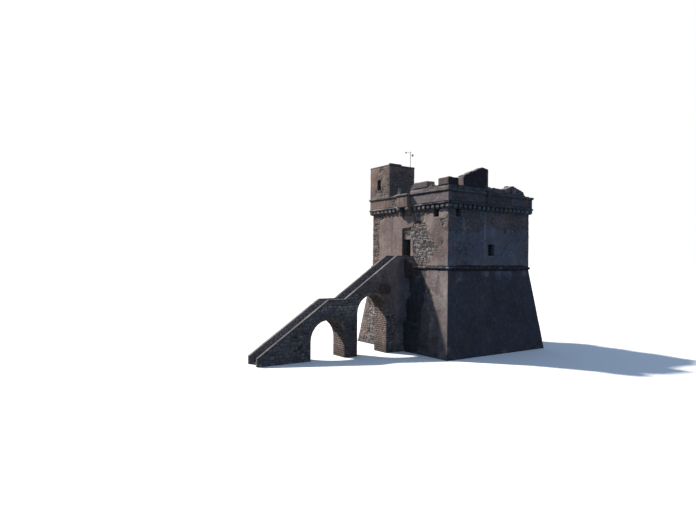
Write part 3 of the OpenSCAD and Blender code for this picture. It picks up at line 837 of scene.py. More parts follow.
@dataclass(frozen=True)
class Ring:
    """The four walls of a rectangular plan, upright or battered.

    The plan's half width along x goes from half_low at z0 to half_top at z1, and along y it is larger
    by the same amount, deeper, at every height.
    """

    z0: float
    z1: float
    half_low: float
    half_top: float
    centre: Pair = (0.0, 0.0)
    deeper: float = 0.0

    def half(self, z: Array) -> Array:
        """Half width along x at a height, on a straight line from foot to top."""
        return self.half_low + (self.half_top - self.half_low) * (z - self.z0) / (self.z1 - self.z0)

    def place(self, side: Array | int, u: Array, z: Array, out: Array) -> Points:
        """Places of points on the walls.

        The front's point is (u (a + out) / a, -(b + out)) for half sizes a and b, which meets the next
        wall at the corner for any out, and the other sides turn it by quarter turns.

        Args:
            side: number of the side, from the front.
            u: distance along the side from its middle.
            z: height.
            out: distance in front of the wall.

        Returns:
            The places.
        """
        half = self.half(z)
        odd = np.asarray(side) % 2
        along, away = half + self.deeper * odd, half + self.deeper * (1 - odd)
        return self.turn(side, u * (along + out) / along, -(away + out), z)

    def turn(self, side: Array | int, x: Array, y: Array, z: Array) -> Points:
        """Turns places on the front by quarter turns about the plan's centre, to another side.

        Args:
            side: quarter turns from the front.
            x: places across the front, from the centre.
            y: places towards the back, from the centre.
            z: heights.

        Returns:
            The places on that side.
        """
        angle = np.asarray(side) * (math.pi / 2)
        cos, sin = np.round(np.cos(angle)), np.round(np.sin(angle))
        here = self.centre
        return np.stack([here[0] + x * cos - y * sin, here[1] + x * sin + y * cos, z + 0 * x], -1)

    def stones(self, side: Side, bond: Bond, seed: int, keep: Test | None = None,
               openings: Sequence[Opening] = (), fine: bool = True,
               roof: Test | None = None) -> Shape:
        """Lays stones on one side.

        Args:
            side: which side.
            bond: how they are laid.
            seed: picks the lay.
            keep: says, for the stones' middles, which are there.
            openings: rectangles that stay clear.
            fine: gives each stone more points.
            roof: height that the stones stay under, at each place.

        Returns:
            The stones.
        """
        deeper = self.deeper * (side.value % 2)
        widest = max(self.half_low, self.half_top) + deeper
        cells = lay(2 * widest, self.z1 - self.z0, bond, seed) + np.array([-widest, self.z0])
        limit = self.half(cells[..., 1]) + deeper - 0.01
        cells[..., 0] = np.clip(cells[..., 0], -limit, limit)
        for gap in openings:
            if gap.side is side:
                cells = around((gap.u0, gap.z0), (gap.u1, gap.z1))(cells)
        if roof is not None:
            spots = self.place(side.value, cells[..., 0], cells[..., 1], 0 * cells[..., 0])
            cells[..., 1] = np.minimum(cells[..., 1], roof(spots))
        cells = sound(cells)
        middle = cells.mean(1)
        if keep is not None:
            cells = cells[keep(self.place(side.value, middle[:, 0], middle[:, 1], 0 * middle[:, 0]))]
        return pillows(cells, lambda u, v, w: self.place(side.value, u, v, w), bond, seed, fine)

    def clad(self, bond: Bond, seed: int, sides: Sequence[Side] = tuple(Side), **choices: object) -> Shape:
        """Lays stones on several sides."""
        return joined([self.stones(side, bond, seed + side.value, **choices) for side in sides])

    def quoins(self, corner: Side, height: float, seed: int, proud: float = 0.018) -> Shape:
        """Long and short corner stones at the right-hand end of one side of a square plan.

        Args:
            corner: the side whose right-hand end is dressed.
            height: height of a corner stone.
            seed: picks their shapes.
            proud: how far they stand out.

        Returns:
            The corner stones.
        """
        rng = np.random.default_rng(seed)
        count = max(1, round((self.z1 - self.z0) / height))
        levels = np.linspace(self.z0, self.z1, count + 1)
        long = rng.uniform(0.46, 0.66, count)
        short = rng.uniform(0.26, 0.38, count)
        even = np.arange(count) % 2 == 0
        along, across = np.where(even, long, short), np.where(even, short, long)
        sizes = np.stack([along, across, np.diff(levels) - 0.018], 1)
        stand = proud * rng.uniform(0.4, 1.3, count)

        def place(number: Array, p: Array) -> Array:
            """Measures a stone's length and width inwards from the corner, on the wall's own slope.

            Args:
                number: which stone each vertex belongs to.
                p: place in the stone.

            Returns:
                The place on the tower.
            """
            z = levels[number] + p[..., 2]
            half = self.half(z) + stand[number]
            return self.turn(corner.value, half - sizes[number, 0] + p[..., 0], -half + p[..., 1], z)

        return blocks(sizes, (5, 5, 5), 0.03, 0.018, seed, place)

    def plaster(self, thick: float, cover: Test, openings: Sequence[Opening], seed: int,
                roof: Test | None = None) -> Shape:
        """Plaster carried round the walls, worn thin at the corners.

        Args:
            thick: thickness of sound plaster.
            cover: how much plaster is left at a place.
            openings: rectangles that stay clear.
            seed: picks its swell.
            roof: height that the plaster stays under, at each place.

        Returns:
            The plaster's face.
        """
        heights = stations(self.z0, self.z1, PLASTER_CELL, [z for gap in openings for z in (gap.z0, gap.z1)])
        side, share = [], []
        for one in Side:
            reach = max(self.half_low, self.half_top) + self.deeper * (one.value % 2)
            cuts = [u for gap in openings if gap.side is one for u in (gap.u0, gap.u1)]
            here = stations(-reach, reach, PLASTER_CELL, cuts)[:-1] / reach
            share.append(here)
            side.append(np.full(len(here), one.value))
        number, part = np.concatenate(side), np.concatenate(share)
        z = heights[None, :] * np.ones((len(number), 1))
        numbers = number[:, None] * np.ones_like(z)
        length = self.half(z) + self.deeper * (numbers % 2)
        u = part[:, None] * length
        onward = np.roll(part, -1)
        middle = (part + np.where(onward < part, 1.0, onward)) / 2
        middle_u = middle[:, None] * (length[:, 1:] + length[:, :-1]) / 2
        middle_z = (z[:, 1:] + z[:, :-1]) / 2
        there = np.ones(middle_u.shape, bool)
        for gap in openings:
            inside = (number[:, None] == gap.side.value) & (middle_u > gap.u0) & (middle_u < gap.u1)
            there &= ~(inside & (middle_z > gap.z0) & (middle_z < gap.z1))
        if roof is not None:
            there &= middle_z + 0.08 < roof(self.place(numbers[:, 1:], middle_u, middle_z, 0 * middle_z))
        worn = 0.5 * np.exp(-(((length - abs(u)) / 0.06) ** 2))
        return sheet(lambda a, b, w: self.place(numbers, a, b, w), u, z, there, cover, thick, worn, seed)

    def set_blocks(self, side: Side, lows: Array, sizes: Array, counts: Counts,
                   bevel: float, rough: float, seed: int, shape: Callable | None = None) -> Shape:
        """Worn blocks set in one side.

        Args:
            side: which side.
            lows: lowest u, outermost distance and lowest z of each block.
            sizes: length along u, depth inwards and height of each block.
            counts: cells along each axis.
            bevel: radius of the rounded edges.
            rough: how far the faces are shifted.
            seed: picks the shift.
            shape: narrows the distance by a height measured from the block's foot.

        Returns:
            The blocks.
        """

        def place(number: Array, p: Array) -> Array:
            """Measures u along the side, the distance inwards and z up.

            Args:
                number: which stone each vertex belongs to.
                p: place in the stone.

            Returns:
                The place on the tower.
            """
            out = lows[number, 1] - p[..., 1]
            if shape is not None:
                out = np.where(out > 0, out * shape(number, p[..., 2]), out)
            return self.place(side.value, lows[number, 0] + p[..., 0], lows[number, 2] + p[..., 2], out)

        return blocks(sizes, counts, bevel, rough, seed, place)


def carried(path: Sequence[Pair], profile: Array, closed: bool, length: float, seed: int,
            broken: Test) -> Shape:
    """Carries a moulding's closed profile along a level path, cut into separate stones.

    At a corner the profile's reach is turned along the mitre (n1 + n2) / (1 + n1.n2) of the two runs'
    normals. It narrows in the joints between the stones and shrinks where the moulding is broken.

    Args:
        path: corners of the path in x and y, with the outside on its right.
        profile: the profile's points as reach and height, in order round it.
        closed: joins the path's ends.
        length: mean length of a stone.
        seed: picks the stones and their tones.
        broken: how much of the moulding is lost at a place, 0 to 1.

    Returns:
        The moulding.
    """
    rng = np.random.default_rng(seed)
    corners = np.asarray(path, float)
    starts = corners if closed else corners[:-1]
    runs = (np.roll(corners, -1, 0) if closed else corners[1:]) - starts
    spans = np.linalg.norm(runs, axis=1)
    ways = runs / spans[:, None]
    normals = np.stack([ways[:, 1], -ways[:, 0]], 1)
    before, after = np.roll(normals, 1, 0), np.roll(normals, -1, 0)
    if not closed:
        before[0], after[-1] = normals[0], normals[-1]
    reach = profile[:, 0].max() + 0.01
    places, mitres, slack, tones = [], [], [], []
    for number, (start, way, span, normal) in enumerate(zip(starts, ways, spans, normals)):
        bends = ((before[number], normal), (normal, after[number]))
        hollow = [reach * (np.cross(a, b) < -0.5) for a, b in bends]
        count = max(1, round((span - sum(hollow)) / length))
        joints = np.linspace(hollow[0], span - hollow[1], count + 1)
        joints[1:-1] += 0.15 * span / count * rng.uniform(-1, 1, count - 1)
        for a, b in zip(joints, joints[1:]):
            inner = np.linspace(a + 0.03, b - 0.03, max(2, round((b - a) / 0.11)))
            distance = np.concatenate([[a + 0.006], inner, [b - 0.006]])
            mitre = np.repeat(normal[None], len(distance), 0)
            tightness = np.concatenate([[0.8], np.ones(len(inner)), [0.8]])
            if a == joints[0]:
                distance[0], tightness[0] = 0.0, 1.0
                mitre[0] = (normal + before[number]) / (1 + normal @ before[number])
            places.append(start + distance[:, None] * way)
            mitres.append(mitre)
            slack.append(tightness)
            tones.append(np.full(len(distance), rng.uniform(0, 1)))
    spine, mitre, tight, tone = (np.concatenate(part) for part in (places, mitres, slack, tones))
    spot = np.concatenate([spine, np.full((len(spine), 1), profile[:, 1].mean())], 1)
    left = tight * (1 - 0.75 * broken(spot))
    outward = profile[None, :, 0] * np.where(profile[:, 0] > 0, left[:, None], 1.0)
    flat = spine[:, None] + mitre[:, None] * outward[..., None]
    z = profile[None, :, 1] + 0.004 * noise(spot, 0.6, seed, 2)[:, None]
    points = np.concatenate([flat, z[..., None]], -1)
    shift = np.stack([noise(points, 0.16, seed + k, 2) for k in range(3)], -1)
    points = (points + 0.011 * (profile[:, 0] > 0)[None, :, None] * shift).reshape(-1, 3)
    count, ring = len(spine), len(profile)
    faces = [net(count - (not closed), ring, count, ring)]
    if not closed:
        faces += [np.arange(ring)[None, :], ((count - 1) * ring + np.arange(ring))[None, ::-1]]
    return Shape(points, faces, np.repeat(tone, ring), np.repeat(np.clip(3 - 3 * tight, 0, 1), ring))


def crest(path: Sequence[Sequence[float]], width: float, rise: float, seed: int, length: float = 0.36,
          sunk: float = 0.10) -> Shape:
    """Beds a broken top course of stones along a line on top of a wall.

    Args:
        path: the middle of the wall's top, as places.
        width: thickness of the wall.
        rise: how far the highest stones stand up.
        seed: picks the stones.
        length: their mean length.
        sunk: how deep they are bedded.

    Returns:
        The stones.
    """
    rng = np.random.default_rng(seed)
    line = np.asarray(path, float)
    rows = max(1, round(width / 0.38))
    sizes, origins, ways, sideways = [], [], [], []
    for start, end in zip(line, line[1:]):
        span = float(np.linalg.norm(end - start))
        way = (end - start) / span
        across = np.cross((0, 0, 1), way)
        across /= np.linalg.norm(across)
        for row in range(rows):
            count = max(1, round(span / length))
            joints = np.linspace(0, span, count + 1)
            joints[1:-1] += 0.3 * span / count * rng.uniform(-1, 1, count - 1)
            tall = sunk + rise * rng.uniform(0.15, 1.0, count)
            sizes.append(np.stack([np.diff(joints) - 0.015, np.full(count, width / rows - 0.012), tall], 1))
            offset = (row / rows - 0.5) * width + 0.006
            origins.append(start + joints[:-1, None] * way + offset * across - np.array([0, 0, sunk]))
            ways.append(np.repeat(way[None], count, 0))
            sideways.append(np.repeat(across[None], count, 0))
    size, origin, way, across = (np.concatenate(part) for part in (sizes, origins, ways, sideways))

    def place(number: Array, p: Array) -> Array:
        """Measures a stone along the line, across it and straight up."""
        level = origin[number] + p[..., :1] * way[number] + p[..., 1:2] * across[number]
        return level + p[..., 2:] * np.array([0, 0, 1])

    return blocks(size, (4, 4, 4), 0.05, 0.02, seed, place)


def grey(value: float) -> tuple[float, float, float, float]:
    """A linear grey for a shader."""
    return (value, value, value, 1.0)


def srgb(red: int, green: int, blue: int) -> tuple[float, float, float, float]:
    """Turns a display colour, 0 to 255, into the linear one that a shader takes.

    Args:
        red: share of red.
        green: share of green.
        blue: share of blue.

    Returns:
        The linear colour, with an alpha of one.
    """
    value = np.array([red, green, blue]) / 255
    linear = np.where(value <= 0.04045, value / 12.92, ((value + 0.055) / 1.055) ** 2.4)
    return (*linear.tolist(), 1.0)


Value = Socket | float | tuple


class Wiring:
    """A node tree that is being wired up, with a short method for each node it uses."""

    def __init__(self, tree: Tree) -> None:
        """Starts on a node tree."""
        self.tree = tree

    def add(self, kind: str, **settings: object) -> Node:
        """Adds a node and sets its properties.

        Args:
            kind: the node's type.
            settings: its properties by name.

        Returns:
            The node.
        """
        node = self.tree.nodes.new(kind)
        for name, value in settings.items():
            setattr(node, name, value)
        return node

    def feed(self, socket: Socket, value: Value) -> None:
        """Links a socket to another one, or sets its constant."""
        if isinstance(value, Socket):
            self.tree.links.new(value, socket)
        else:
            socket.default_value = value

    def math(self, operation: str, a: Value, b: Value, c: Value = 0.0) -> Socket:
        """Puts out a math node's result.

        Args:
            operation: what the node does.
            a: first value.
            b: second value.
            c: third value, for the operations that take one.

        Returns:
            The result's socket.
        """
        node = self.add("ShaderNodeMath", operation=operation)
        for socket, value in zip(node.inputs, (a, b, c)):
            self.feed(socket, value)
        return node.outputs[0]

    def rise(self, value: Value, start: float, end: float, top: float = 1.0) -> Socket:
        """Rises smoothly from 0 at start to top at end.

        Args:
            value: what is followed.
            start: where it leaves 0.
            end: where it reaches the top.
            top: the highest result.

        Returns:
            The result's socket.
        """
        node = self.add("ShaderNodeMapRange", interpolation_type="SMOOTHSTEP")
        self.feed(node.inputs["Value"], value)
        node.inputs["From Min"].default_value = start
        node.inputs["From Max"].default_value = end
        node.inputs["To Max"].default_value = top
        return node.outputs["Result"]

    def blend(self, share: Value, a: Value, b: Value, way: str = "MIX") -> Socket:
        """Mixes two colours.

        Args:
            share: how much of b is mixed in.
            a: the first colour.
            b: the second colour.
            way: how they are mixed.

        Returns:
            The mixed colour's socket.
        """
        node = self.add("ShaderNodeMix", data_type="RGBA", blend_type=way)
        self.feed(node.inputs["Factor"], share)
        self.feed(node.inputs[6], a)
        self.feed(node.inputs[7], b)
        return node.outputs[2]

    def stretched(self, vector: Value, scale: Triple) -> Socket:
        """Multiplies a vector by one number for each axis.

        Args:
            vector: the vector.
            scale: the three numbers.

        Returns:
            The result's socket.
        """
        node = self.add("ShaderNodeVectorMath", operation="MULTIPLY")
        self.feed(node.inputs[0], vector)
        node.inputs[1].default_value = scale
        return node.outputs[0]

    def noise(self, vector: Value, scale: float, detail: float = 4.0, rough: float = 0.6) -> Socket:
        """Noise at so many lumps for each metre.

        Args:
            vector: the place.
            scale: lumps for each metre.
            detail: number of octaves.
            rough: strength of the finer ones.

        Returns:
            The noise's socket.
        """
        node = self.add("ShaderNodeTexNoise")
        self.feed(node.inputs["Vector"], vector)
        node.inputs["Scale"].default_value = scale
        node.inputs["Detail"].default_value = detail
        node.inputs["Roughness"].default_value = rough
        return node.outputs["Fac"]

    def cells(self, vector: Value, scale: float) -> Socket:
        """Distance to the nearest of the Voronoi points, so many for each metre.

        Args:
            vector: place in the pattern.
            scale: points for each metre.

        Returns:
            The distance's socket.
        """
        node = self.add("ShaderNodeTexVoronoi")
        self.feed(node.inputs["Vector"], vector)
        node.inputs["Scale"].default_value = scale
        return node.outputs["Distance"]

    def ramp(self, value: Value, stops: Sequence[tuple[float, tuple]]) -> Socket:
        """A colour ramp through the given stops.

        Args:
            value: what the colours follow.
            stops: position and colour of each stop.

        Returns:
            The colour's socket.
        """
        node = self.add("ShaderNodeValToRGB")
        self.feed(node.inputs[0], value)
        elements = node.color_ramp.elements
        while len(elements) < len(stops):
            elements.new(0.5)
        for element, (position, colour) in zip(elements, stops):
            element.position = position
            element.color = colour
        return node.outputs[0]

    def stored(self, name: str) -> Node:
        """Reads a value that is stored in the mesh."""
        return self.add("ShaderNodeAttribute", attribute_name=name)

    def place(self) -> Socket:
        """The object's own coordinates, which are the frame's."""
        return self.add("ShaderNodeTexCoord").outputs["Object"]

    def use(self, group: Tree, **values: Value) -> Node:
        """Puts a node group in, its sockets fed by name.

        Args:
            group: the node group.
            values: what goes into each socket.

        Returns:
            The node.
        """
        node = self.add("ShaderNodeGroup", node_tree=group)
        for name, value in values.items():
            self.feed(node.inputs[name], value)
        return node


def group(name: str, inputs: Sequence[str], outputs: Sequence[str]) -> tuple:
    """Starts a node group. Sockets called Colour carry colours and the others single numbers.

    Args:
        name: the group's name.
        inputs: names of what goes in.
        outputs: names of what comes out.

    Returns:
        Its wiring, its inputs by name and its output node.
    """
    tree = bpy.data.node_groups.new(name, "ShaderNodeTree")
    for way, labels in (("INPUT", inputs), ("OUTPUT", outputs)):
        for label in labels:
            kind = "NodeSocketColor" if label == "Colour" else "NodeSocketFloat"
            tree.interface.new_socket(label, in_out=way, socket_type=kind)
    wiring = Wiring(tree)
    return wiring, wiring.add("NodeGroupInput").outputs, wiring.add("NodeGroupOutput")


def weather_and_shade_group() -> Tree:
    """Group that washes a colour with the mesh's marks, which are stain marks and painted light and shade,
    and with runs of water, lime bloom, grime and lichen.

    Returns:
        The group.
    """
    names = ("Colour", "Warm", "Dark", "Pale", "Cool", "Runs")
    wiring, given, result = group("weathering", names, ("Colour", "Damp"))
    place = wiring.place()
    broad = wiring.noise(place, 0.5, 5, 0.62)
    middling = wiring.noise(place, 2.6, 6, 0.7)
    small = wiring.noise(place, 5.0, 6, 0.75)
    fine = wiring.noise(place, 16.0, 5, 0.7)
    runs = wiring.noise(wiring.stretched(place, (4.2, 4.2, 0.3)), 1.0, 5, 0.65)
    frayed = wiring.math("MULTIPLY_ADD", middling, 1.3, -0.15)
    colour = given["Colour"]
    # Cool marks multiply by a pale blue: on faces in shade this is painted shade, the blue of skylit shade;
    # on two lit patches it greys the masonry's own colour.
    cool = wiring.math("MULTIPLY", given["Cool"], wiring.rise(broad, 0.15, 0.6))
    colour = wiring.blend(wiring.math("MULTIPLY", cool, 0.9), colour, srgb(160, 200, 245), "MULTIPLY")
    warm = wiring.math("MULTIPLY", given["Warm"], wiring.rise(frayed, 0.3, 0.75))
    colour = wiring.blend(wiring.math("MULTIPLY", warm, 0.7), colour, srgb(150, 112, 78))
    # Pale marks: lime wash and pale stone, and in two patches painted light.
    pale = wiring.math("MULTIPLY", given["Pale"], wiring.rise(frayed, 0.25, 0.7))
    colour = wiring.blend(wiring.math("MULTIPLY", pale, 0.75), colour, srgb(172, 163, 156))
    bloom = wiring.math("MULTIPLY", wiring.rise(broad, 0.44, 0.66), wiring.rise(small, 0.46, 0.62))
    colour = wiring.blend(wiring.math("MULTIPLY", bloom, 0.5), colour, srgb(165, 156, 150))
    grime = wiring.math("MULTIPLY", wiring.rise(broad, 0.56, 0.32), wiring.rise(small, 0.36, 0.62))
    streak = wiring.math("MULTIPLY", given["Runs"], wiring.rise(runs, 0.5, 0.74))
    # The dark share: dark marks, which are real stain marks and painted shade, with grime and runs.
    dark = wiring.math("MULTIPLY", given["Dark"], wiring.rise(frayed, -0.3, 0.6))
    dark = wiring.math("MAXIMUM", dark, wiring.math("MULTIPLY", grime, 0.5))
    dark = wiring.math("MAXIMUM", dark, streak)
    colour = wiring.blend(wiring.rise(fine, 0.56, 0.70, 0.5), colour, srgb(66, 63, 59))
    colour = wiring.blend(wiring.rise(fine, 0.44, 0.30, 0.4), colour, srgb(172, 163, 156))
    # Mixes towards a dark blue-grey by the dark share: real dirt, and painted shade and shadow.
    colour = wiring.blend(wiring.math("MULTIPLY", dark, 0.72), colour, srgb(34, 36, 44))
    wiring.feed(result.inputs["Colour"], colour)
    wiring.feed(result.inputs["Damp"], wiring.math("MULTIPLY", dark, 0.5))
    return wiring.tree


def grit_group() -> Tree:
    """Group that gives the height of a weathered face: lumps, grain and small pits.

    Returns:
        The group.
    """
    wiring, given, result = group("grit", ("Lumps", "Grain", "Pits"), ("Height",))
    place = wiring.place()
    lumps = wiring.math("MULTIPLY", wiring.noise(place, 4.5, 5, 0.6), given["Lumps"])
    grain = wiring.math("MULTIPLY", wiring.noise(place, 34.0, 6, 0.72), given["Grain"])
    pit = wiring.rise(wiring.cells(wiring.stretched(place, (1, 1, 1.25)), 15.0), 0.34, 0.1)
    pits = wiring.math("MULTIPLY", pit, wiring.rise(wiring.noise(place, 2.4), 0.45, 0.6))
    pits = wiring.math("MULTIPLY", pits, given["Pits"])
    wiring.feed(result.inputs["Height"], wiring.math("SUBTRACT", wiring.math("ADD", lumps, grain), pits))
    return wiring.tree


def small_stones_group() -> Tree:
    """Group for small rubble: a tone for each stone of a flattened Voronoi pattern, and its seams.

    Returns:
        The group.
    """
    wiring, given, result = group("small_stones", ("Scale",), ("Tone", "Seam"))
    place = wiring.place()
    bent = wiring.add("ShaderNodeVectorMath", operation="MULTIPLY_ADD")
    warp = wiring.add("ShaderNodeTexNoise")
    wiring.feed(warp.inputs["Vector"], place)
    wiring.feed(bent.inputs[0], warp.outputs["Color"])
    bent.inputs[1].default_value = (0.16, 0.16, 0.16)
    wiring.feed(bent.inputs[2], wiring.stretched(place, (1, 1, 1.55)))
    for feature, output, target in (("F1", "Color", "Tone"), ("DISTANCE_TO_EDGE", "Distance", "Seam")):
        node = wiring.add("ShaderNodeTexVoronoi", feature=feature)
        wiring.feed(node.inputs["Vector"], bent.outputs[0])
        wiring.feed(node.inputs["Scale"], given["Scale"])
        value = wiring.rise(node.outputs[output], 0.11, 0.02) if target == "Seam" else node.outputs[output]
        wiring.feed(result.inputs[target], value)
    return wiring.tree


@dataclass(frozen=True)
class Groups:
    """The node groups that the finishes share."""

    weather_and_shade: Tree
    grit: Tree
    stones: Tree


@dataclass(frozen=True)
class Finish:
    """A masonry finish.

    Its tones are run through from stone to stone. ghost says how clearly small stones show in the face,
    all over where plain is set, and elsewhere only where the plaster is thin.
    """

    name: str
    tones: tuple[tuple, ...]
    slot: str = "rubble"
    lumps: float = 0.010
    grain: float = 0.005
    pits: float = 0.010
    runs: float = 0.25
    contrast: float = 0.5
    seam: float = 0.35
    ghost: float = 0.0
    plain: bool = False
    scale: float = 4.0

    def material(self, groups: Groups) -> bpy.types.Material:
        """Builds the node material from the shared groups.

        Args:
            groups: the shared node groups.

        Returns:
            The material.
        """
        made = bpy.data.materials.new(self.name)
        made.use_nodes = True
        wiring = Wiring(made.node_tree)
        shader = made.node_tree.nodes["Principled BSDF"]
        place = wiring.place()
        small = wiring.use(groups.stones, Scale=self.scale)
        rim = wiring.stored("rim").outputs["Fac"]
        tone = small.outputs["Tone"] if self.plain else wiring.stored("tone").outputs["Fac"]
        stops = [(k / (len(self.tones) - 1), colour) for k, colour in enumerate(self.tones)]
        colour = wiring.ramp(tone, stops)
        fine = wiring.math("MULTIPLY", wiring.noise(place, 9.0, 6, 0.75), 0.45)
        mottle = wiring.math("MULTIPLY_ADD", wiring.noise(place, 2.3, 5, 0.7), 0.55, fine)
        swing = 0.6 * self.contrast
        shade = wiring.ramp(mottle, [(0.34, grey(1 - swing)), (0.66, grey(1 + swing))])
        colour = wiring.blend(1.0, colour, shade, "MULTIPLY")
        if not (self.plain or self.ghost):
            # Darkens each stone towards its edges, where it dips into the joints: dirt and painted shade in
            # the joints.
            colour = wiring.blend(wiring.math("MULTIPLY", rim, self.seam), colour, srgb(64, 60, 58))
        shows = self.ghost if self.plain else wiring.math("MULTIPLY", rim, self.ghost)
        ghost = wiring.math("MULTIPLY", small.outputs["Seam"], shows)
        if self.ghost:
            stops = [(0.25, (0.62, 0.60, 0.58, 1)), (0.75, (1.28, 1.24, 1.2, 1))]
            lit = wiring.ramp(small.outputs["Tone"], stops)
            colour = wiring.blend(shows, colour, wiring.blend(1.0, colour, lit, "MULTIPLY"))
            colour = wiring.blend(wiring.math("MULTIPLY", ghost, 0.6), colour, srgb(70, 65, 62))
        marks = wiring.stored("marks")
        parts = wiring.add("ShaderNodeSeparateColor")
        wiring.feed(parts.inputs[0], marks.outputs["Color"])
        warm, dark, pale = parts.outputs
        washed = wiring.use(groups.weather_and_shade, Colour=colour, Warm=warm, Dark=dark, Pale=pale,
                            Cool=marks.outputs["Alpha"], Runs=self.runs)
        wiring.feed(shader.inputs["Base Color"], washed.outputs["Colour"])
        dry = wiring.math("MULTIPLY_ADD", washed.outputs["Damp"], -0.2, 0.95)
        wiring.feed(shader.inputs["Roughness"], dry)
        shader.inputs["Specular IOR Level"].default_value = 0.08
        grit = wiring.use(groups.grit, Lumps=self.lumps, Grain=self.grain, Pits=self.pits)
        bump = wiring.add("ShaderNodeBump")
        bump.inputs["Distance"].default_value = 1.0
        wiring.feed(bump.inputs["Height"], wiring.math("MULTIPLY_ADD", ghost, -0.025, grit.outputs["Height"]))
        wiring.feed(shader.inputs["Normal"], bump.outputs["Normal"])
        return made


@dataclass(frozen=True)
class Metal:
    """An iron or steel finish: its slot, colours, share of rust, roughness and metallic share."""

    name: str
    slot: str
    body: tuple
    rust: tuple
    rusty: float
    roughness: float
    metallic: float

    def material(self, groups: Groups) -> bpy.types.Material:
        """Builds the node material: bare metal with rust in noise patches and a hammered face.

        Args:
            groups: the shared node groups.

        Returns:
            The material.
        """
        made = bpy.data.materials.new(self.name)
        made.use_nodes = True
        wiring = Wiring(made.node_tree)
        shader = made.node_tree.nodes["Principled BSDF"]
        place = wiring.place()
        rusted = wiring.rise(wiring.noise(place, 9.0, 6, 0.7), 0.7 - self.rusty, 0.85 - self.rusty)
        mottle = wiring.blend(wiring.noise(place, 45.0, 5, 0.7), self.body, srgb(70, 70, 72))
        wiring.feed(shader.inputs["Base Color"], wiring.blend(rusted, mottle, self.rust))
        for name, bare, rough in (("Metallic", self.metallic, 0.0), ("Roughness", self.roughness, 0.9)):
            wiring.feed(shader.inputs[name], wiring.math("MULTIPLY_ADD", rusted, rough - bare, bare))
        bump = wiring.add("ShaderNodeBump")
        bump.inputs["Distance"].default_value = 0.004
        grit = wiring.use(groups.grit, Lumps=0.2, Grain=1.0, Pits=0.0)
        wiring.feed(bump.inputs["Height"], grit.outputs["Height"])
        wiring.feed(shader.inputs["Normal"], bump.outputs["Normal"])
        return made


PLASTER = Finish("lime_plaster", (srgb(124, 110, 106), srgb(140, 124, 119), srgb(154, 139, 134)), "limewash",
                 grain=0.004, pits=0.006, runs=0.4, contrast=0.55, ghost=0.8)
MORTAR = Finish("lime_mortar", (srgb(100, 89, 82), srgb(118, 106, 98), srgb(132, 120, 111)),
                grain=0.009, pits=0.016, contrast=0.5, ghost=0.45, plain=True)
# The darkest tone turns a few stones into holes among the rubble: painted shade.
RUBBLE_STONE = Finish("rubble_stone", (
    srgb(52, 48, 46), srgb(112, 103, 98), srgb(134, 123, 117), srgb(122, 111, 104), srgb(144, 132, 125),
    srgb(128, 119, 115), srgb(150, 140, 134), srgb(160, 150, 145)), pits=0.014, contrast=0.55, seam=0.2)
ASHLAR = Finish("ashlar", (srgb(96, 90, 88), srgb(116, 108, 104), srgb(106, 97, 92), srgb(130, 120, 114)),
                contrast=0.45, seam=0.2)
TUFA_STONE = Finish("tufa_stone", (
    srgb(124, 107, 98), srgb(146, 126, 116), srgb(134, 113, 98), srgb(154, 137, 129)), "tufa",
                    pits=0.012, contrast=0.4, seam=0.2)
# Pale purple-grey tones: partly the stone's own colour, partly painted light, so that the far inner face, in
# shade, reads as lit by light thrown back from the steps.
GUARD_STONE_WITH_PAINTED_LIGHT = Finish("guard_stone", (srgb(126, 120, 126), srgb(146, 139, 145), srgb(134, 125, 126)),
                     pits=0.014, runs=0.1, seam=0.6)
DRESSED = Finish("dressed_stone", (srgb(122, 114, 108), srgb(142, 133, 126), srgb(160, 151, 145)),
                 "dressed_stone", pits=0.008, runs=0.3, contrast=0.4, seam=0.3)
DRESSED_CORE = Finish("dressed_stone_core", (srgb(110, 102, 98), srgb(126, 117, 112)), plain=True)
COPING = Finish("coping_stone", (srgb(98, 95, 94), srgb(112, 108, 106), srgb(90, 87, 86)),
                "dressed_stone", runs=0.0, contrast=0.4)
SLABS = Finish("paving_stone", (srgb(82, 77, 78), srgb(96, 90, 89), srgb(108, 101, 98)), "paving", runs=0.0)
SLABS_CORE = Finish("paving_core", (srgb(74, 70, 70), srgb(88, 82, 80)), runs=0.0, plain=True)
IRON = Metal("wrought_iron", "iron", srgb(44, 47, 52), srgb(84, 58, 44), 0.22, 0.6, 0.6)
STEEL = Metal("weathered_steel", "steel", srgb(120, 124, 126), srgb(96, 88, 82), 0.05, 0.45, 0.8)
FINISHES = (PLASTER, MORTAR, RUBBLE_STONE, ASHLAR, TUFA_STONE, GUARD_STONE_WITH_PAINTED_LIGHT, DRESSED, DRESSED_CORE, COPING,
            SLABS, SLABS_CORE, IRON, STEEL)
CORES = {"limewash": MORTAR, "rubble": MORTAR, "dressed_stone": DRESSED_CORE, "tufa": MORTAR,
         "paving": SLABS_CORE, "iron": IRON, "steel": STEEL}


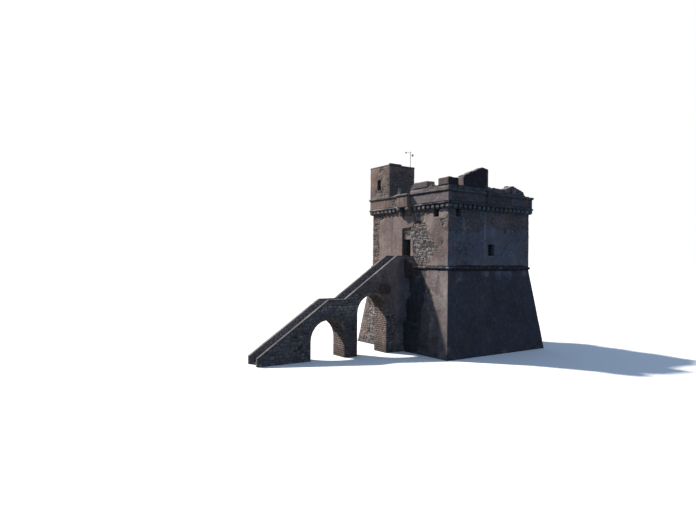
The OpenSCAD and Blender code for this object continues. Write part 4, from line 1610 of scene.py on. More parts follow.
@dataclass
class Studio:
    """Camera, lamps, floor and background."""

    camera: Triple = (42.558, -42.434, 9.113)
    yaw: float = 0.97419
    pitch: float = 0.00106
    roll: float = 0.00998
    lens: float = 27.414
    sun_way: Triple = (1.85, 1.0, -2.2)
    sun_strength: float = 6.45
    fill: float = 0.54

    def place_camera(self) -> None:
        """Stands the camera where the photograph was taken, turned by its yaw, pitch and roll."""
        level = math.cos(self.pitch)
        forward = Vector((-math.sin(self.yaw) * level, math.cos(self.yaw) * level, math.sin(self.pitch)))
        right = Vector((math.cos(self.yaw), math.sin(self.yaw), 0))
        up = right.cross(forward)
        x = math.cos(self.roll) * right + math.sin(self.roll) * up
        y = -math.sin(self.roll) * right + math.cos(self.roll) * up
        data = bpy.data.cameras.new("camera")
        data.lens = self.lens
        data.sensor_width = 36.0
        data.clip_end = 4000
        camera = bpy.data.objects.new("camera", data)
        rows = [(x[k], y[k], -forward[k], self.camera[k]) for k in range(3)]
        camera.matrix_world = Matrix((*rows, (0, 0, 0, 1)))
        bpy.context.scene.collection.objects.link(camera)
        bpy.context.scene.camera = camera

    def light(self) -> None:
        """Hangs one key lamp and an even fill from the world, white where the camera sees it."""
        data = bpy.data.lights.new("key", "SUN")
        data.energy = self.sun_strength
        data.angle = math.radians(3.0)
        data.color = (1.0, 0.93, 0.84)
        key = bpy.data.objects.new("key", data)
        key.rotation_mode = "QUATERNION"
        key.rotation_quaternion = Vector(self.sun_way).to_track_quat("-Z", "Y")
        bpy.context.scene.collection.objects.link(key)
        world = bpy.data.worlds.new("studio")
        bpy.context.scene.world = world
        world.use_nodes = True
        world.node_tree.nodes.clear()
        wiring = Wiring(world.node_tree)
        fill = wiring.add("ShaderNodeBackground")
        fill.inputs["Color"].default_value = (0.52, 0.715, 1.03, 1.0)
        fill.inputs["Strength"].default_value = self.fill
        white = wiring.add("ShaderNodeBackground")
        white.inputs["Color"].default_value = (1.0, 1.0, 1.0, 1.0)
        self.choose(wiring, fill, white, "ShaderNodeOutputWorld")

    @staticmethod
    def choose(wiring: Wiring, lighting: Node, seen: Node, output: str) -> None:
        """Uses one shader for the light's own rays and the other for those of camera, mirror and glass.

        Args:
            wiring: the tree that is wired up.
            lighting: the shader for the light's own rays.
            seen: the shader for all other rays.
            output: kind of the output node.
        """
        path = wiring.add("ShaderNodeLightPath")
        either = wiring.math("MAXIMUM", path.outputs["Is Camera Ray"], path.outputs["Is Glossy Ray"])
        choice = wiring.add("ShaderNodeMixShader")
        wiring.feed(choice.inputs[0], wiring.math("MAXIMUM", either, path.outputs["Is Transmission Ray"]))
        wiring.feed(choice.inputs[1], lighting.outputs[0])
        wiring.feed(choice.inputs[2], seen.outputs[0])
        wiring.feed(wiring.add(output).inputs["Surface"], choice.outputs[0])

    def lay_floor(self) -> None:
        """Lays a pale floor that keeps the tower's shadow and throws little light back up."""
        reach = 1500.0
        mesh = bpy.data.meshes.new("floor")
        corners = [(x * reach, y * reach, -0.002) for x, y in ((-1, -1), (1, -1), (1, 1), (-1, 1))]
        mesh.from_pydata(corners, [], [(0, 1, 2, 3)])
        floor = bpy.data.objects.new("floor", mesh)
        bpy.context.scene.collection.objects.link(floor)
        made = bpy.data.materials.new("floor")
        made.use_nodes = True
        made.node_tree.nodes.clear()
        wiring = Wiring(made.node_tree)
        pale, dim = wiring.add("ShaderNodeBsdfDiffuse"), wiring.add("ShaderNodeBsdfDiffuse")
        pale.inputs["Color"].default_value = (0.8, 0.8, 0.8, 1)
        dim.inputs["Color"].default_value = (0.055, 0.055, 0.05, 1)
        self.choose(wiring, dim, pale, "ShaderNodeOutputMaterial")
        floor.data.materials.append(made)

    def build(self) -> None:
        """Sets the whole studio up."""
        bpy.context.scene.view_settings.view_transform = "Standard"
        self.place_camera()
        self.light()
        self.lay_floor()


WEATHER_AND_SHADE = WeatherAndShade(
    marks=(
        (Mark.WARM, patches(
            (-5.6, -6.25, 18.3, 0.55, 0.4, 1.3, 0.9), (-4.4, -6.25, 19.2, 1, 0.4, 0.4, 0.7),
            (-5.1, -6.3, 15.6, 0.7, 0.4, 0.5, 0.9), (-5.35, -6, 11.5, 0.7, 0.5, 2.8, 0.95),
            (-1, -6, 9.7, 0.4, 0.4, 1, 0.8), (5.9, -6.25, 16.95, 0.4, 0.5, 0.35, 0.9),
            (5.8, -4.2, 17.2, 0.6, 0.25, 0.4, 0.8), (6.2, 4.9, 15.8, 0.5, 0.4, 0.6, 0.7),
            (5.8, 2.7, 16.9, 0.8, 0.7, 0.25, 0.8), (-4.9, -6.2, 14.5, 1.3, 0.5, 0.4, 1),
            (0.9, -15, 3.6, 0.5, 0.7, 0.5, 0.8), (0.9, -9.9, 5.9, 0.6, 1, 0.7, 0.9),
            (0.9, -14, 5, 0.3, 0.7, 0.4, 0.5), (6, -2.7, 12.9, 0.3, 0.9, 0.7, 0.7),
            (-2.75, -3.3, 18.6, 0.4, 0.35, 0.8, 1), (6, 2.4, 13.5, 0.3, 3.2, 0.7, 0.6),
            (2.3, -6.3, 16.9, 0.9, 0.4, 0.3, 0.35), (-3, -6.3, 15.5, 0.5, 0.4, 0.5, 0.5))),
        # Dark marks: real stain marks and streaks, and painted shade and shadow; each painted one is named
        # below.
        (Mark.DARK, patches(
            (6.25, -1, 15.7, 0.4, 0.2, 0.9, 1.3), (6.25, 0.8, 15.6, 0.4, 1.5, 0.8, 0.8),
            (-2.55, -6, 11.8, 0.13, 0.4, 2.3, 0.5), (0.89, -6.6, 8.3, 0.4, 0.55, 0.9, 1.2),
            # the stair's shaded right side made darker: real dirt and painted shade
            (0.89, -15.9, 4, 0.4, 1.6, 0.7, 0.6), (0.89, -11.6, 6.6, 0.4, 1.8, 0.6, 0.5),
            # painted shade among and under the corbels, front and right
            (0, -6.4, 14.4, 6.4, 0.6, 0.45, 0.3), (6.3, 0, 14.6, 0.6, 6.4, 0.35, 0.3),
            # darker towards the foot of the tower and of the stair
            (0, 0, 0.3, 8, 8, 0.5, 0.4), (0, -15, 0.3, 1.4, 9, 0.6, 0.6),
            # painted shadow under the cornice's fillet, front left; painted shade on the base's right side
            (-3.5, -6.3, 16.08, 2.8, 0.4, 0.12, 0.9), (7, 0, 3.4, 1.6, 9, 4.7, 1.02, True),
            (5, -6.9, 3.4, 2.4, 0.6, 4.2, 0.26), (6, -7, 1.5, 1.2, 0.5, 2, 0.5),
            # painted shade on the right side's cornice and string course
            (6.4, 0, 16.1, 0.5, 6.4, 0.3, 0.8), (6.15, 0, 8.57, 0.3, 6.4, 0.3, 1.4),
            # painted shade in the doorway's left reveal, and on the right part of the front roll moulding
            (-0.5, -5.7, 10.3, 0.3, 0.35, 1.4, 1.2), (4.7, -6.33, 14.9, 1.9, 0.30, 0.14, 2.6),
            # painted shadow under the cornice's fillet, front right; painted shadow on the base where the
            # stair's shadow falls
            (3.6, -6.36, 16.03, 2.9, 0.3, 0.12, 1.3), (1.9, -6.98, 1.4, 1.2, 0.3, 2, 1.2),
            # painted shadow on the base where the stair's shadow falls
            (1.9, -6.6, 4.2, 1.2, 0.3, 1.9, 1.2), (1.9, -6.2, 7, 1.2, 0.3, 1.9, 1.1),
            # painted shadow on the base where the stair's shadow falls
            (2.9, -6.9, 2.2, 1.6, 0.4, 2.6, 0.9), (4.3, -7, 0.7, 1.6, 0.4, 1.3, 0.8),
            # the stair's shaded right side made darker: real dirt and painted shade
            (0.95, -8.4, 5, 0.25, 1.6, 3.6, 0.35), (0.95, -13.6, 1.6, 0.25, 0.9, 2, 0.8),
            # painted shade on the right roll moulding and on the right face of the sloping merlon
            (6.35, 0, 14.9, 0.2, 6.4, 0.2, 1.1), (6.3, -2.5, 17.7, 0.12, 1.9, 1.2, 1.5),
            # painted shade on the right face of the corner merlon and of the turret
            (6.3, -5.6, 16.9, 0.12, 0.7, 0.5, 1.5), (-2.7, -4.5, 17.2, 0.3, 1.9, 2.6, 0.5),
            # painted shade on the right side's parapet band
            (6.3, 0, 15.5, 0.15, 6.4, 0.75, 0.6), (6, 4.2, 12.9, 0.2, 1.8, 1.6, 0.3),
            # painted shadow under the fillet of the box's cornice
            (-0.1, -6.75, 16.02, 1, 0.2, 0.1, 0.9), (3.6, -6.3, 16.9, 2.8, 0.2, 0.5, 0.5),
            (3.9, -6, 12, 0.12, 0.3, 0.9, 0.4), (4.8, -6, 11, 0.12, 0.3, 1.2, 0.35),
            # painted shade on the front string course's right part
            (4.6, -6.2, 8.57, 1.9, 0.35, 0.2, 1.3), (4.9, -6, 11.6, 1.1, 0.3, 2.2, 0.3),
            (-0.1, -6.7, 15.5, 1, 0.12, 0.7, 0.35), (-3.8, -6.3, 15.5, 2.6, 0.2, 0.6, 0.25),
            (-5.4, -6, 11.4, 0.6, 0.3, 3, 0.25), (-0.5, -6.75, 15.4, 0.12, 0.12, 0.6, 0.7),
            (-3.4, -6.3, 15.4, 0.14, 0.2, 0.6, 0.6), (0.4, -6.75, 15.3, 0.1, 0.12, 0.5, 0.6),
            (5.5, -6.25, 16.9, 0.8, 0.2, 0.5, 0.7), (0.89, -9.7, 6.4, 0.3, 0.7, 0.5, 1),
            (0.89, -20, 1.6, 0.3, 3.4, 2.6, 0.45), (4.9, -6.4, 6.6, 0.35, 0.5, 0.7, 0.6),
            (5.3, -6.6, 3.2, 0.2, 0.5, 1.4, 0.6), (4.3, -6.4, 4.3, 0.2, 0.5, 1, 0.5))),
        # Pale marks: lime wash and pale stone, with two painted lights named below.
        (Mark.PALE, patches(
            (5.35, -6, 13.9, 0.6, 0.5, 0.5, 0.9), (-4.52, -6.25, 18.92, 0.36, 0.3, 0.13, 1),
            (3.6, -6.8, 3.4, 1.2, 1, 0.9, 0.7), (5.4, -7, 5.6, 0.8, 1, 0.9, 0.7),
            (6.8, 0.9, 7.7, 0.6, 0.4, 0.3, 0.8), (0.89, -14.2, 4.6, 0.3, 1.3, 0.35, 1),
            (0.89, -13.6, 3.9, 0.3, 0.8, 0.3, 0.9), (2.2, -6, 10.4, 0.6, 0.4, 0.5, 0.6),
            # the second: painted light on the lower flight's far parapet face, which is in shade, as if lit
            # from the steps
            (0.9, -6.7, 16.4, 0.3, 0.3, 0.5, 0.6), (-0.7, -21, 2.6, 0.3, 5, 3.4, 0.6),
            (2.7, -6.3, 7.9, 0.5, 0.6, 0.6, 0.9), (5.6, -6.6, 6.6, 0.6, 0.6, 1.4, 0.7),
            # the first: painted highlight on the top fillet of the box's cornice
            (-0.1, -6.7, 16.22, 0.9, 0.25, 0.05, 0.8), (6, -0.9, 11.6, 0.2, 0.16, 2.2, 0.5),
            (6, -4, 12.6, 0.2, 0.2, 0.9, 0.5), (3.2, -6, 12.9, 0.7, 0.3, 0.5, 0.7))),
        # Cool marks: painted shade, the blue of shade on the right side, the stair's right side, the turret's
        # right face and the base in the stair's shadow; the two on the lit front of the base and of the
        # parapet grey the masonry's own colour.
        (Mark.COOL, patches(
            (7, 0, 8.6, 1.3, 9, 9.6, 1.05, True), (0.95, -15, 4, 0.25, 9.4, 6.4, 0.2),
            (-2.7, -4.5, 17.4, 0.3, 1.9, 2.4, 0.2), (0.5, -7, 4.3, 3.2, 1, 4.4, 0.8),
            (5.2, -6.9, 4.3, 2.3, 1, 4.3, 0.4), (3.6, -6.2, 16, 2.8, 0.5, 1.5, 0.4))),
    ),
    plaster=patches(
        (-2.75, -6, 11.1, 2, 0.7, 3, 1.6), (-0.1, -6, 13.6, 1, 0.7, 1, 0.9),
        (4.6, -6, 11.2, 1.5, 0.7, 2.8, 0.72), (0.78, -6, 10.6, 0.22, 0.5, 0.9, 1.4),
        (5.3, -6, 13.9, 0.6, 0.5, 0.5, 0.8), (6, 2, 10.4, 0.7, 4.4, 1.9, 1.3),
        (6, -3.4, 10.3, 0.7, 2.8, 1.7, 0.75), (6, -0.2, 13.2, 0.7, 5.8, 0.9, 0.35),
        (2.8, -7, 4.6, 4.8, 1.4, 4.4, 0.75), (-3.2, -7, 5, 2.6, 1.4, 3.4, 0.15),
        (7, 0, 4.4, 1.4, 7.8, 4.8, 1.15), (-3.7, -6.3, 15.5, 2.7, 0.5, 0.7, 0.9),
        (3.8, -6.3, 15.5, 2.8, 0.5, 0.7, 1.1), (0, -7, 15.5, 1.4, 1.2, 0.8, 1.1),
        (6.3, -3, 15.5, 0.5, 3.4, 0.7, 0.9), (6.3, 4.2, 15.6, 0.5, 1.4, 0.6, 0.9),
        (-4.5, -4.5, 17.8, 2.2, 2.2, 2.2, 0.6), (0.9, -7.4, 7.4, 0.4, 1.6, 1.6, 1.2),
        (-7, 0, 4.4, 1.4, 7.4, 4.2, 0.8), (0, 7, 4.4, 7.4, 1.4, 4.2, 0.8), (-6, -1, 11, 0.7, 4, 2.4, 0.6),
        (1, 6, 11, 4, 0.7, 2.4, 0.6), (5.5, -5.9, 16.9, 1.1, 0.9, 0.5, 1.1),
        (2.2, -5.9, 16.9, 1.2, 0.8, 0.5, 1), (5.8, -2.5, 17.6, 0.7, 2.2, 1.4, 1.1),
        (0.95, -9, 7, 0.25, 3.6, 3.4, 1), (0.95, -14.6, 3.9, 0.25, 1.2, 0.8, 0.6),
        (3.6, -6.2, 16.5, 3.2, 0.5, 0.5, 0.9), (2.2, -6, 13.1, 1.7, 0.6, 1, 0.62),
        (5.6, -6.6, 7.3, 0.7, 0.8, 1.1, 0.7), (0.95, -13.8, 1.4, 0.25, 1, 1.6, 0.7)),
    fallen=patches(
        (1.95, -6, 10.8, 1.1, 0.7, 2, 0.85), (-5.4, -6, 11.4, 0.65, 0.6, 3.2, 0.9)),
)


@dataclass
class Workshop:
    """Makes finished pieces: meshes with their material and body."""

    weather_and_shade: WeatherAndShade

    def __post_init__(self) -> None:
        """Builds the shared groups and every material once."""
        groups = Groups(weather_and_shade_group(), grit_group(), small_stones_group())
        self.materials = {finish.name: finish.material(groups) for finish in FINISHES}

    def show(self, name: str, shape: Shape, finish: Finish | Metal, slot: str = "",
             body: str = "tower") -> bpy.types.Object | None:
        """Makes a shape a finished piece.

        Args:
            name: the piece's name.
            shape: its mesh.
            finish: what it is made of.
            slot: the material slot that it counts as, where that isn't the finish's own; it is worked out but
                not used.
            body: what it rides on.

        Returns:
            The piece, or nothing where the shape has no face.
        """
        if not sum(len(face) for face in shape.faces):
            return None
        piece = make_object(name, shape, self.weather_and_shade)
        piece.data.materials.append(self.materials[finish.name])
        slot = slot or finish.slot
        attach(piece, body)
        log.info("%s: %d triangles", name, sum(len(face) * (face.shape[1] - 2) for face in shape.faces))
        return piece

    def plaster(self, name: str, shape: Shape) -> None:
        """Shows a plaster face and closes its broken edges down into the wall.

        Args:
            name: the piece's name.
            shape: the plaster's face.
        """
        piece = self.show(name, shape, PLASTER)
        if piece is None:
            return
        solid = piece.modifiers.new("edges", "SOLIDIFY")
        solid.thickness = 0.045
        solid.offset = -1.0
        solid.use_rim = True
        solid.use_rim_only = True

    def dress_nodes(self) -> None:
        """Gives every frame node a material by its slot."""
        for part in frame["record"]["subparts"]:
            node = frame["nodes"][part["node"]]
            node.data.materials.clear()
            node.data.materials.append(self.materials[CORES[part["material_slot"]].name])


@dataclass
class Body:
    """Battered base and upright body, with their stones, corner stones and plaster."""

    shop: Workshop
    coat: float = 0.034
    quoin: float = 0.36
    window_half: float = 0.43
    window: Pair = (9.83, 10.96)
    jambs: Triple = (0.24, 0.34, 0.26)
    niche: Pair = (13.6, 14.35)
    niches: tuple[tuple[Side, float, float], ...] = ((Side.FRONT, 3.98, 4.67), (Side.RIGHT, -5.04, -4.35))

    def build(self) -> None:
        """Builds the base, the body and the windows' stones."""
        base = Ring(0.0, SITE.base_top, SITE.foot, SITE.half)
        body = Ring(SITE.string_top, SITE.wall_top, SITE.half, SITE.half)
        stair = Opening(Side.FRONT, SITE.stair_left, SITE.stair_right, -1.0, 9.1)
        self.wall("base", base, (RUBBLE, SQUARED, RUBBLE, RUBBLE), [stair], 100)
        self.wall("body", body, (RUBBLE, SQUARED, RUBBLE, SQUARED), self.openings(), 200)
        self.windows(body)

    def openings(self) -> list[Opening]:
        """Rectangles on the body that stay clear: recess, landing, windows, niches and corbels.

        Returns:
            The rectangles.
        """
        found = [
            Opening(Side.FRONT, SITE.recess_left, SITE.recess_right, SITE.base_top, SITE.recess_top),
            Opening(Side.FRONT, SITE.stair_left, SITE.stair_right, 8.0, SITE.landing),
        ]
        found += [Opening(*place, *self.niche) for place in self.niches]
        half = self.window_half
        found += [Opening(side, -half, half, *self.window) for side in (Side.RIGHT, Side.BACK, Side.LEFT)]
        foot = SITE.corbel_foot + 0.1
        found += [Opening(side, -SITE.half, SITE.half, foot, SITE.wall_top) for side in Side]
        return found

    def wall(self, name: str, ring: Ring, bonds: Sequence[Bond], openings: Sequence[Opening],
             seed: int) -> None:
        """Builds the stones, corner stones and plaster of one ring.

        Args:
            name: start of the pieces' names.
            ring: the four walls.
            bonds: how the stones are laid on each side.
            openings: rectangles that stay clear.
            seed: picks the lay.
        """
        weather_and_shade = self.shop.weather_and_shade
        for side, bond in zip(Side, bonds):
            fine = side in (Side.FRONT, Side.RIGHT)
            stones = ring.stones(side, bond, seed + side.value, weather_and_shade.bare, openings, fine)
            finish = ASHLAR if bond is SQUARED else RUBBLE_STONE
            self.shop.show(f"{name}_stones_{side.name.lower()}", stones, finish)
        corners = joined([ring.quoins(side, self.quoin, seed + 10 + side.value) for side in Side])
        self.shop.show(f"{name}_corner_stones", corners, ASHLAR)
        plaster = ring.plaster(self.coat, weather_and_shade.cover, openings, seed + 20)
        self.shop.plaster(f"{name}_plaster", plaster)

    def windows(self, body: Ring) -> None:
        """Sets a lintel, a sill and jamb stones round each window.

        Args:
            body: the body's walls.
        """
        half, (foot, head) = self.window_half, self.window
        lows = [(-half - 0.26, 0.030, head + 0.004), (-half - 0.16, 0.045, foot - 0.16)]
        sizes = [(2 * half + 0.52, 0.30, 0.27), (2 * half + 0.32, 0.34, 0.15)]
        for level, width in enumerate(self.jambs):
            z = foot + level * (head - foot) / 3
            for u in (-half - width, half):
                lows.append((u, 0.028, z + 0.006))
                sizes.append((width, 0.30, (head - foot) / 3 - 0.014))
        low_points, size = np.array(lows), np.array(sizes)
        stones = [body.set_blocks(side, low_points, size, (6, 5, 5), 0.025, 0.012, 260 + side.value)
                  for side in (Side.RIGHT, Side.BACK, Side.LEFT)]
        self.shop.show("window_stones", joined(stones), DRESSED)


@dataclass
class Mouldings:
    """String course, roll moulding, cornice and the two rows of corbels."""

    shop: Workshop
    corbels: int = 19
    corbel_width: float = 0.30
    box_corbel_width: float = 0.40
    string_out: float = 0.15
    roll_out: float = 0.10
    cornice_out: float = 0.12
    nose: float = 0.319
    bedded: float = 0.025
    skin: float = 0.008

    def build(self) -> None:
        """Builds the mouldings and corbels."""
        half, edge = SITE.half, SITE.edge
        string = [(SITE.stair_right, -half), (half, -half), (half, half), (-half, half), (-half, -half),
                  (SITE.stair_left, -half)]
        middle = (SITE.base_top + SITE.string_top) / 2
        profile = self.roll(middle, self.string_out)
        stones = carried(string, profile, False, 0.8, 300, self.loss)
        self.shop.show("string_course_stones", stones, DRESSED)
        left, right = (SITE.box_left, -edge), (SITE.box_right, -edge)
        corners = [(edge, -edge), (edge, edge), (-edge, edge), (-edge, -edge)]
        profile = self.roll((SITE.wall_top + SITE.roll_top) / 2, self.roll_out)
        roll = carried([right, *corners, left], profile, False, 0.6, 310, self.loss)
        self.shop.show("roll_moulding_stones", roll, DRESSED)
        path = [*corners, left, (left[0], SITE.box_y), (right[0], SITE.box_y), right]
        stones = carried(path, self.cornice(), True, 0.75, 320, self.loss)
        self.shop.show("cornice_stones", stones, DRESSED)
        self.shop.show("corbel_stones", joined([self.row(side) for side in Side]), DRESSED)
        self.shop.show("box_corbel_stones", self.box_corbels(), DRESSED)

    def roll(self, middle: float, out: float) -> Array:
        """Half-round profile about a middle height, carried into the wall.

        Args:
            middle: height of the roll's middle.
            out: how far it stands out.

        Returns:
            Its points as reach and height.
        """
        turn = np.linspace(-math.pi / 2, math.pi / 2, 8)
        radius = out + self.skin
        curve = np.stack([radius * np.cos(turn), middle + radius * np.sin(turn)], 1)
        curve[[0, -1], 0] = 0.001
        return np.concatenate([[(-self.bedded, curve[0, 1])], curve, [(-self.bedded, curve[-1, 1])]])

    def cornice(self) -> Array:
        """Profile of the cornice: a hollow that swells out under a plain fillet.

        Returns:
            Its points as reach and height.
        """
        turn = np.linspace(0, math.pi / 2, 5)
        tall, top = SITE.cornice_top - SITE.cornice_foot, SITE.cornice_top + 0.007
        curve = np.stack([self.cornice_out * (0.4 + 0.6 * np.sin(turn)) + self.skin,
                          SITE.cornice_top - tall * (0.3 + 0.7 * np.cos(turn)) - 0.004], 1)
        fillet = [(self.cornice_out + self.skin, top), (-self.bedded, top)]
        return np.concatenate([[(-self.bedded, curve[0, 1])], curve, fillet])

    def loss(self, spots: Points) -> Array:
        """How much of a moulding has weathered away, from noise along it."""
        return smooth(noise(spots, 1.3, 330, 3), 0.25, 0.7)

    def row(self, side: Side) -> Shape:
        """The corbels of one side, square above and rounded off to nothing at the foot.

        Args:
            side: which side.

        Returns:
            The corbels.
        """
        width = self.corbel_width
        middles = np.linspace(-SITE.half + width / 2, SITE.half - width / 2, self.corbels)
        if side is Side.FRONT:
            middles = middles[(middles < SITE.box_left - width / 2) | (middles > SITE.box_right + width / 2)]
        rng = np.random.default_rng(340 + side.value)
        reach = SITE.edge - SITE.half + 0.004 + 0.036 * rng.uniform(0, 1, len(middles))
        tall = SITE.wall_top - SITE.corbel_foot
        one = np.ones(len(middles))
        lows = np.stack([middles - width / 2 - 0.006, reach, one * (SITE.corbel_foot + 0.002)], 1)
        sizes = np.stack([one * (width + 0.012), reach + 0.04, one * tall], 1)

        def foot(number: Array, height: Array) -> Array:
            """Quarter circle over the lower two fifths of the corbel."""
            return np.sqrt(np.clip(1 - np.clip(1 - height / (0.4 * tall), 0, 1) ** 2, 0.02, 1))

        ring = Ring(SITE.corbel_foot, SITE.wall_top, SITE.half, SITE.half)
        return ring.set_blocks(side, lows, sizes, (5, 5, 7), 0.022, 0.012, 345 + side.value, foot)

    def box_corbels(self) -> Shape:
        """Stepped corbels under the box over the door, two stones each.

        Returns:
            The corbels.
        """
        foot, width = low("door_box_corbels"), self.box_corbel_width
        tall = (SITE.wall_top - foot.z) / 2
        out = -foot.y - SITE.half
        lows, sizes = [], []
        for x in (SITE.box_left, SITE.box_right - width):
            for step in range(2):
                reach = out * (step + 1) / 2 + 0.010
                lows.append((x - 0.006, reach, foot.z + step * tall + 0.004))
                sizes.append((width + 0.012, reach + 0.04, tall - 0.006))
        low_points = np.array(lows)
        reach = low_points[:, 1]

        def nose(number: Array, height: Array) -> Array:
            """Rounds the lower front edge off by a quarter circle."""
            rise = np.clip(1 - height / self.nose, 0, 1)
            return 1 - self.nose * (1 - np.sqrt(np.clip(1 - rise**2, 0, 1))) / reach[number]

        ring = Ring(foot.z, SITE.wall_top, SITE.half, SITE.half)
        return ring.set_blocks(Side.FRONT, low_points, np.array(sizes), (5, 7, 7), 0.022, 0.012, 350, nose)


@dataclass
class Parapet:
    """Band of masonry round the terrace, the box over the door, the merlons and the broken tops."""

    shop: Workshop
    coat: float = 0.03
    thin_coat: float = 0.026
    upper_course_height: float = 0.97
    merlon: float = 2.0
    front_merlon: float = 1.26
    back_merlons: Pair = (-3.26, 0.28)
    corner_merlon: Pair = (4.80, -5.0)
    slope_foot: float = 17.64

    def build(self) -> None:
        """Builds the band, the box, the inside faces, the merlons and the terrace's paving."""
        edge, inside = SITE.edge, SITE.inside
        band = Ring(SITE.roll_top, SITE.cornice_foot, edge, edge)
        door = Opening(Side.FRONT, SITE.box_left, SITE.box_right)
        self.band("parapet", band, [door], 400)
        depth = (-SITE.box_y - inside) / 2
        wide = (SITE.box_right - SITE.box_left) / 2
        middle = ((SITE.box_left + SITE.box_right) / 2, (SITE.box_y - inside) / 2)
        box = Ring(SITE.wall_top, SITE.cornice_foot, wide, wide, middle, depth - wide)
        out = -edge - SITE.box_y - depth
        inner = [Opening(Side.BACK, -2.0, 2.0), Opening(Side.RIGHT, out, 1.0),
                 Opening(Side.LEFT, -1.0, -out)]
        self.band("door_box", box, inner, 420)
        self.upper_course()
        self.inner_faces()
        self.merlons()
        self.tops()
        floor = Face((-inside, -inside, SITE.terrace), (1, 0, 0), (0, 1, 0), 2 * inside, 2 * inside)
        nook = SITE.turret_x + inside
        slabs = floor.stones(PAVING, 450, [around((-0.1, -0.1), (nook, nook))], fine=False)
        self.shop.show("terrace_paving", slabs, SLABS)

    def band(self, name: str, ring: Ring, openings: Sequence[Opening], seed: int) -> None:
        """Stones and plaster on a band.

        Args:
            name: start of the pieces' names.
            ring: the band's four walls.
            openings: rectangles that stay clear.
            seed: picks the lay.
        """
        weather_and_shade = self.shop.weather_and_shade
        stones = ring.clad(SQUARED, seed, keep=weather_and_shade.bare, openings=openings)
        self.shop.show(f"{name}_stones", stones, ASHLAR)
        plaster = ring.plaster(self.coat, weather_and_shade.cover, openings, seed + 9)
        self.shop.plaster(f"{name}_plaster", plaster)

    def top(self, spots: Points) -> Array:
        """Height of the parapet's masonry at a place, broken down at the back of the right side.

        Args:
            spots: the places.

        Returns:
            The heights.
        """
        y = spots[..., 1]
        inside, rise = SITE.inside, SITE.sill - SITE.cornice_top
        broken = SITE.cornice_top + np.array([rise, 0.485, 0.53, self.upper_course_height, 0.485, 0])
        ruin = np.interp(y, inside * np.array([-0.05, -0.04, 0.37, 0.58, 0.90, 0.94]), broken)
        height = np.where(spots[..., 0] > inside - 0.1, ruin, SITE.sill)
        back = np.interp(spots[..., 0], inside * np.array([0.7, 0.8]), [SITE.sill, SITE.sill - rise])
        height = np.where((y > inside - 0.1) & (abs(spots[..., 0]) < inside - 0.05), back, height)
        height = np.where((y < -inside + 0.1) & (spots[..., 0] < SITE.box_right), SITE.cornice_top, height)
        return height - 0.01

    def upper_course(self) -> None:
        """Stones of the low course over the cornice, outside, up to the broken top."""
        ring = Ring(SITE.cornice_top, SITE.cornice_top + self.upper_course_height, SITE.edge, SITE.edge)
        gaps = [Opening(Side.FRONT, -SITE.edge, SITE.box_right),
                Opening(Side.LEFT, -SITE.turret_x, SITE.edge)]
        weather_and_shade = self.shop.weather_and_shade
        stones = ring.clad(RUBBLE, 430, openings=gaps, roof=self.top, keep=weather_and_shade.bare)
        self.shop.show("parapet_upper_stones", stones, RUBBLE_STONE)
        plaster = ring.plaster(self.thin_coat, weather_and_shade.cover, gaps, 436, self.top)
        self.shop.plaster("parapet_upper_plaster", plaster)

    def inner_faces(self) -> None:
        """Stones of the parapet's faces towards the terrace."""
        inside, foot = SITE.inside, SITE.terrace
        spans = [
            ((inside, -inside, foot), (-1, 0, 0), inside - SITE.box_right + 0.3),
            ((SITE.box_left + 0.3, -inside, foot), (-1, 0, 0), SITE.box_left + 0.3 - SITE.turret_x),
            ((inside, inside, foot), (0, -1, 0), 2 * inside),
            ((-inside, inside, foot), (1, 0, 0), 2 * inside),
            ((-inside, SITE.turret_x, foot), (0, 1, 0), inside - SITE.turret_x),
        ]
        shapes = []
        for number, (origin, along, width) in enumerate(spans):
            face = Face(origin, along, (0, 0, 1), width, 2.1)
            roof = within(1, lambda u, face=face: self.top(face.place(u, 0 * u, 0 * u - 0.2)) - foot)
            shapes.append(face.stones(RUBBLE, 440 + number, [roof], fine=False))
        self.shop.show("parapet_inner_stones", joined(shapes), RUBBLE_STONE)

    def merlons(self) -> None:
        """Stones round the merlons: two on the front, the sloping one, and those behind."""
        edge, inside, top = SITE.edge, SITE.inside, SITE.merlon_top
        near, far = low("sloping_merlon"), high("sloping_merlon")
        start, long, (corner, corner_end) = self.front_merlon, self.merlon, self.corner_merlon
        boxes = [
            (corner, edge, -edge, -inside, SITE.corner_top),
            (inside, edge, -inside, corner_end, SITE.corner_top),
            (start, start + long, -edge, -inside, top), (near.x, far.x, near.y, far.y, far.z),
            *((x, x + long, inside, edge, top) for x in self.back_merlons),
            (-edge, -corner, inside, edge, top), (-edge, -inside, corner, inside, top),
            (-edge, -inside, start, start + long, top),
        ]
        stones, coats, weather_and_shade = [], [], self.shop.weather_and_shade
        for number, (x0, x1, y0, y1, z1) in enumerate(boxes):
            half = (x1 - x0) / 2
            ring = Ring(SITE.sill, z1, half, half, ((x0 + x1) / 2, (y0 + y1) / 2), (y1 - y0) / 2 - half)
            roof = self.slope if z1 == far.z else None
            stones.append(ring.clad(SQUARED, 460 + 5 * number, keep=weather_and_shade.bare, fine=number < 4, roof=roof))
            coats.append(ring.plaster(self.thin_coat, weather_and_shade.cover, (), 465 + 5 * number, roof))
        self.shop.show("merlon_stones", joined(stones), ASHLAR)
        self.shop.plaster("merlon_plaster", joined(coats))

    def slope(self, spots: Points) -> Array:
        """Height of the sloping merlon's top.

        Args:
            spots: places on the merlon.

        Returns:
            A height for each place.
        """
        near, far = low("sloping_merlon").y, high("sloping_merlon")
        heights = [self.slope_foot, far.z, far.z - 0.12]
        return np.interp(spots[..., 1], [near, far.y - 0.74, far.y], heights) - 0.01

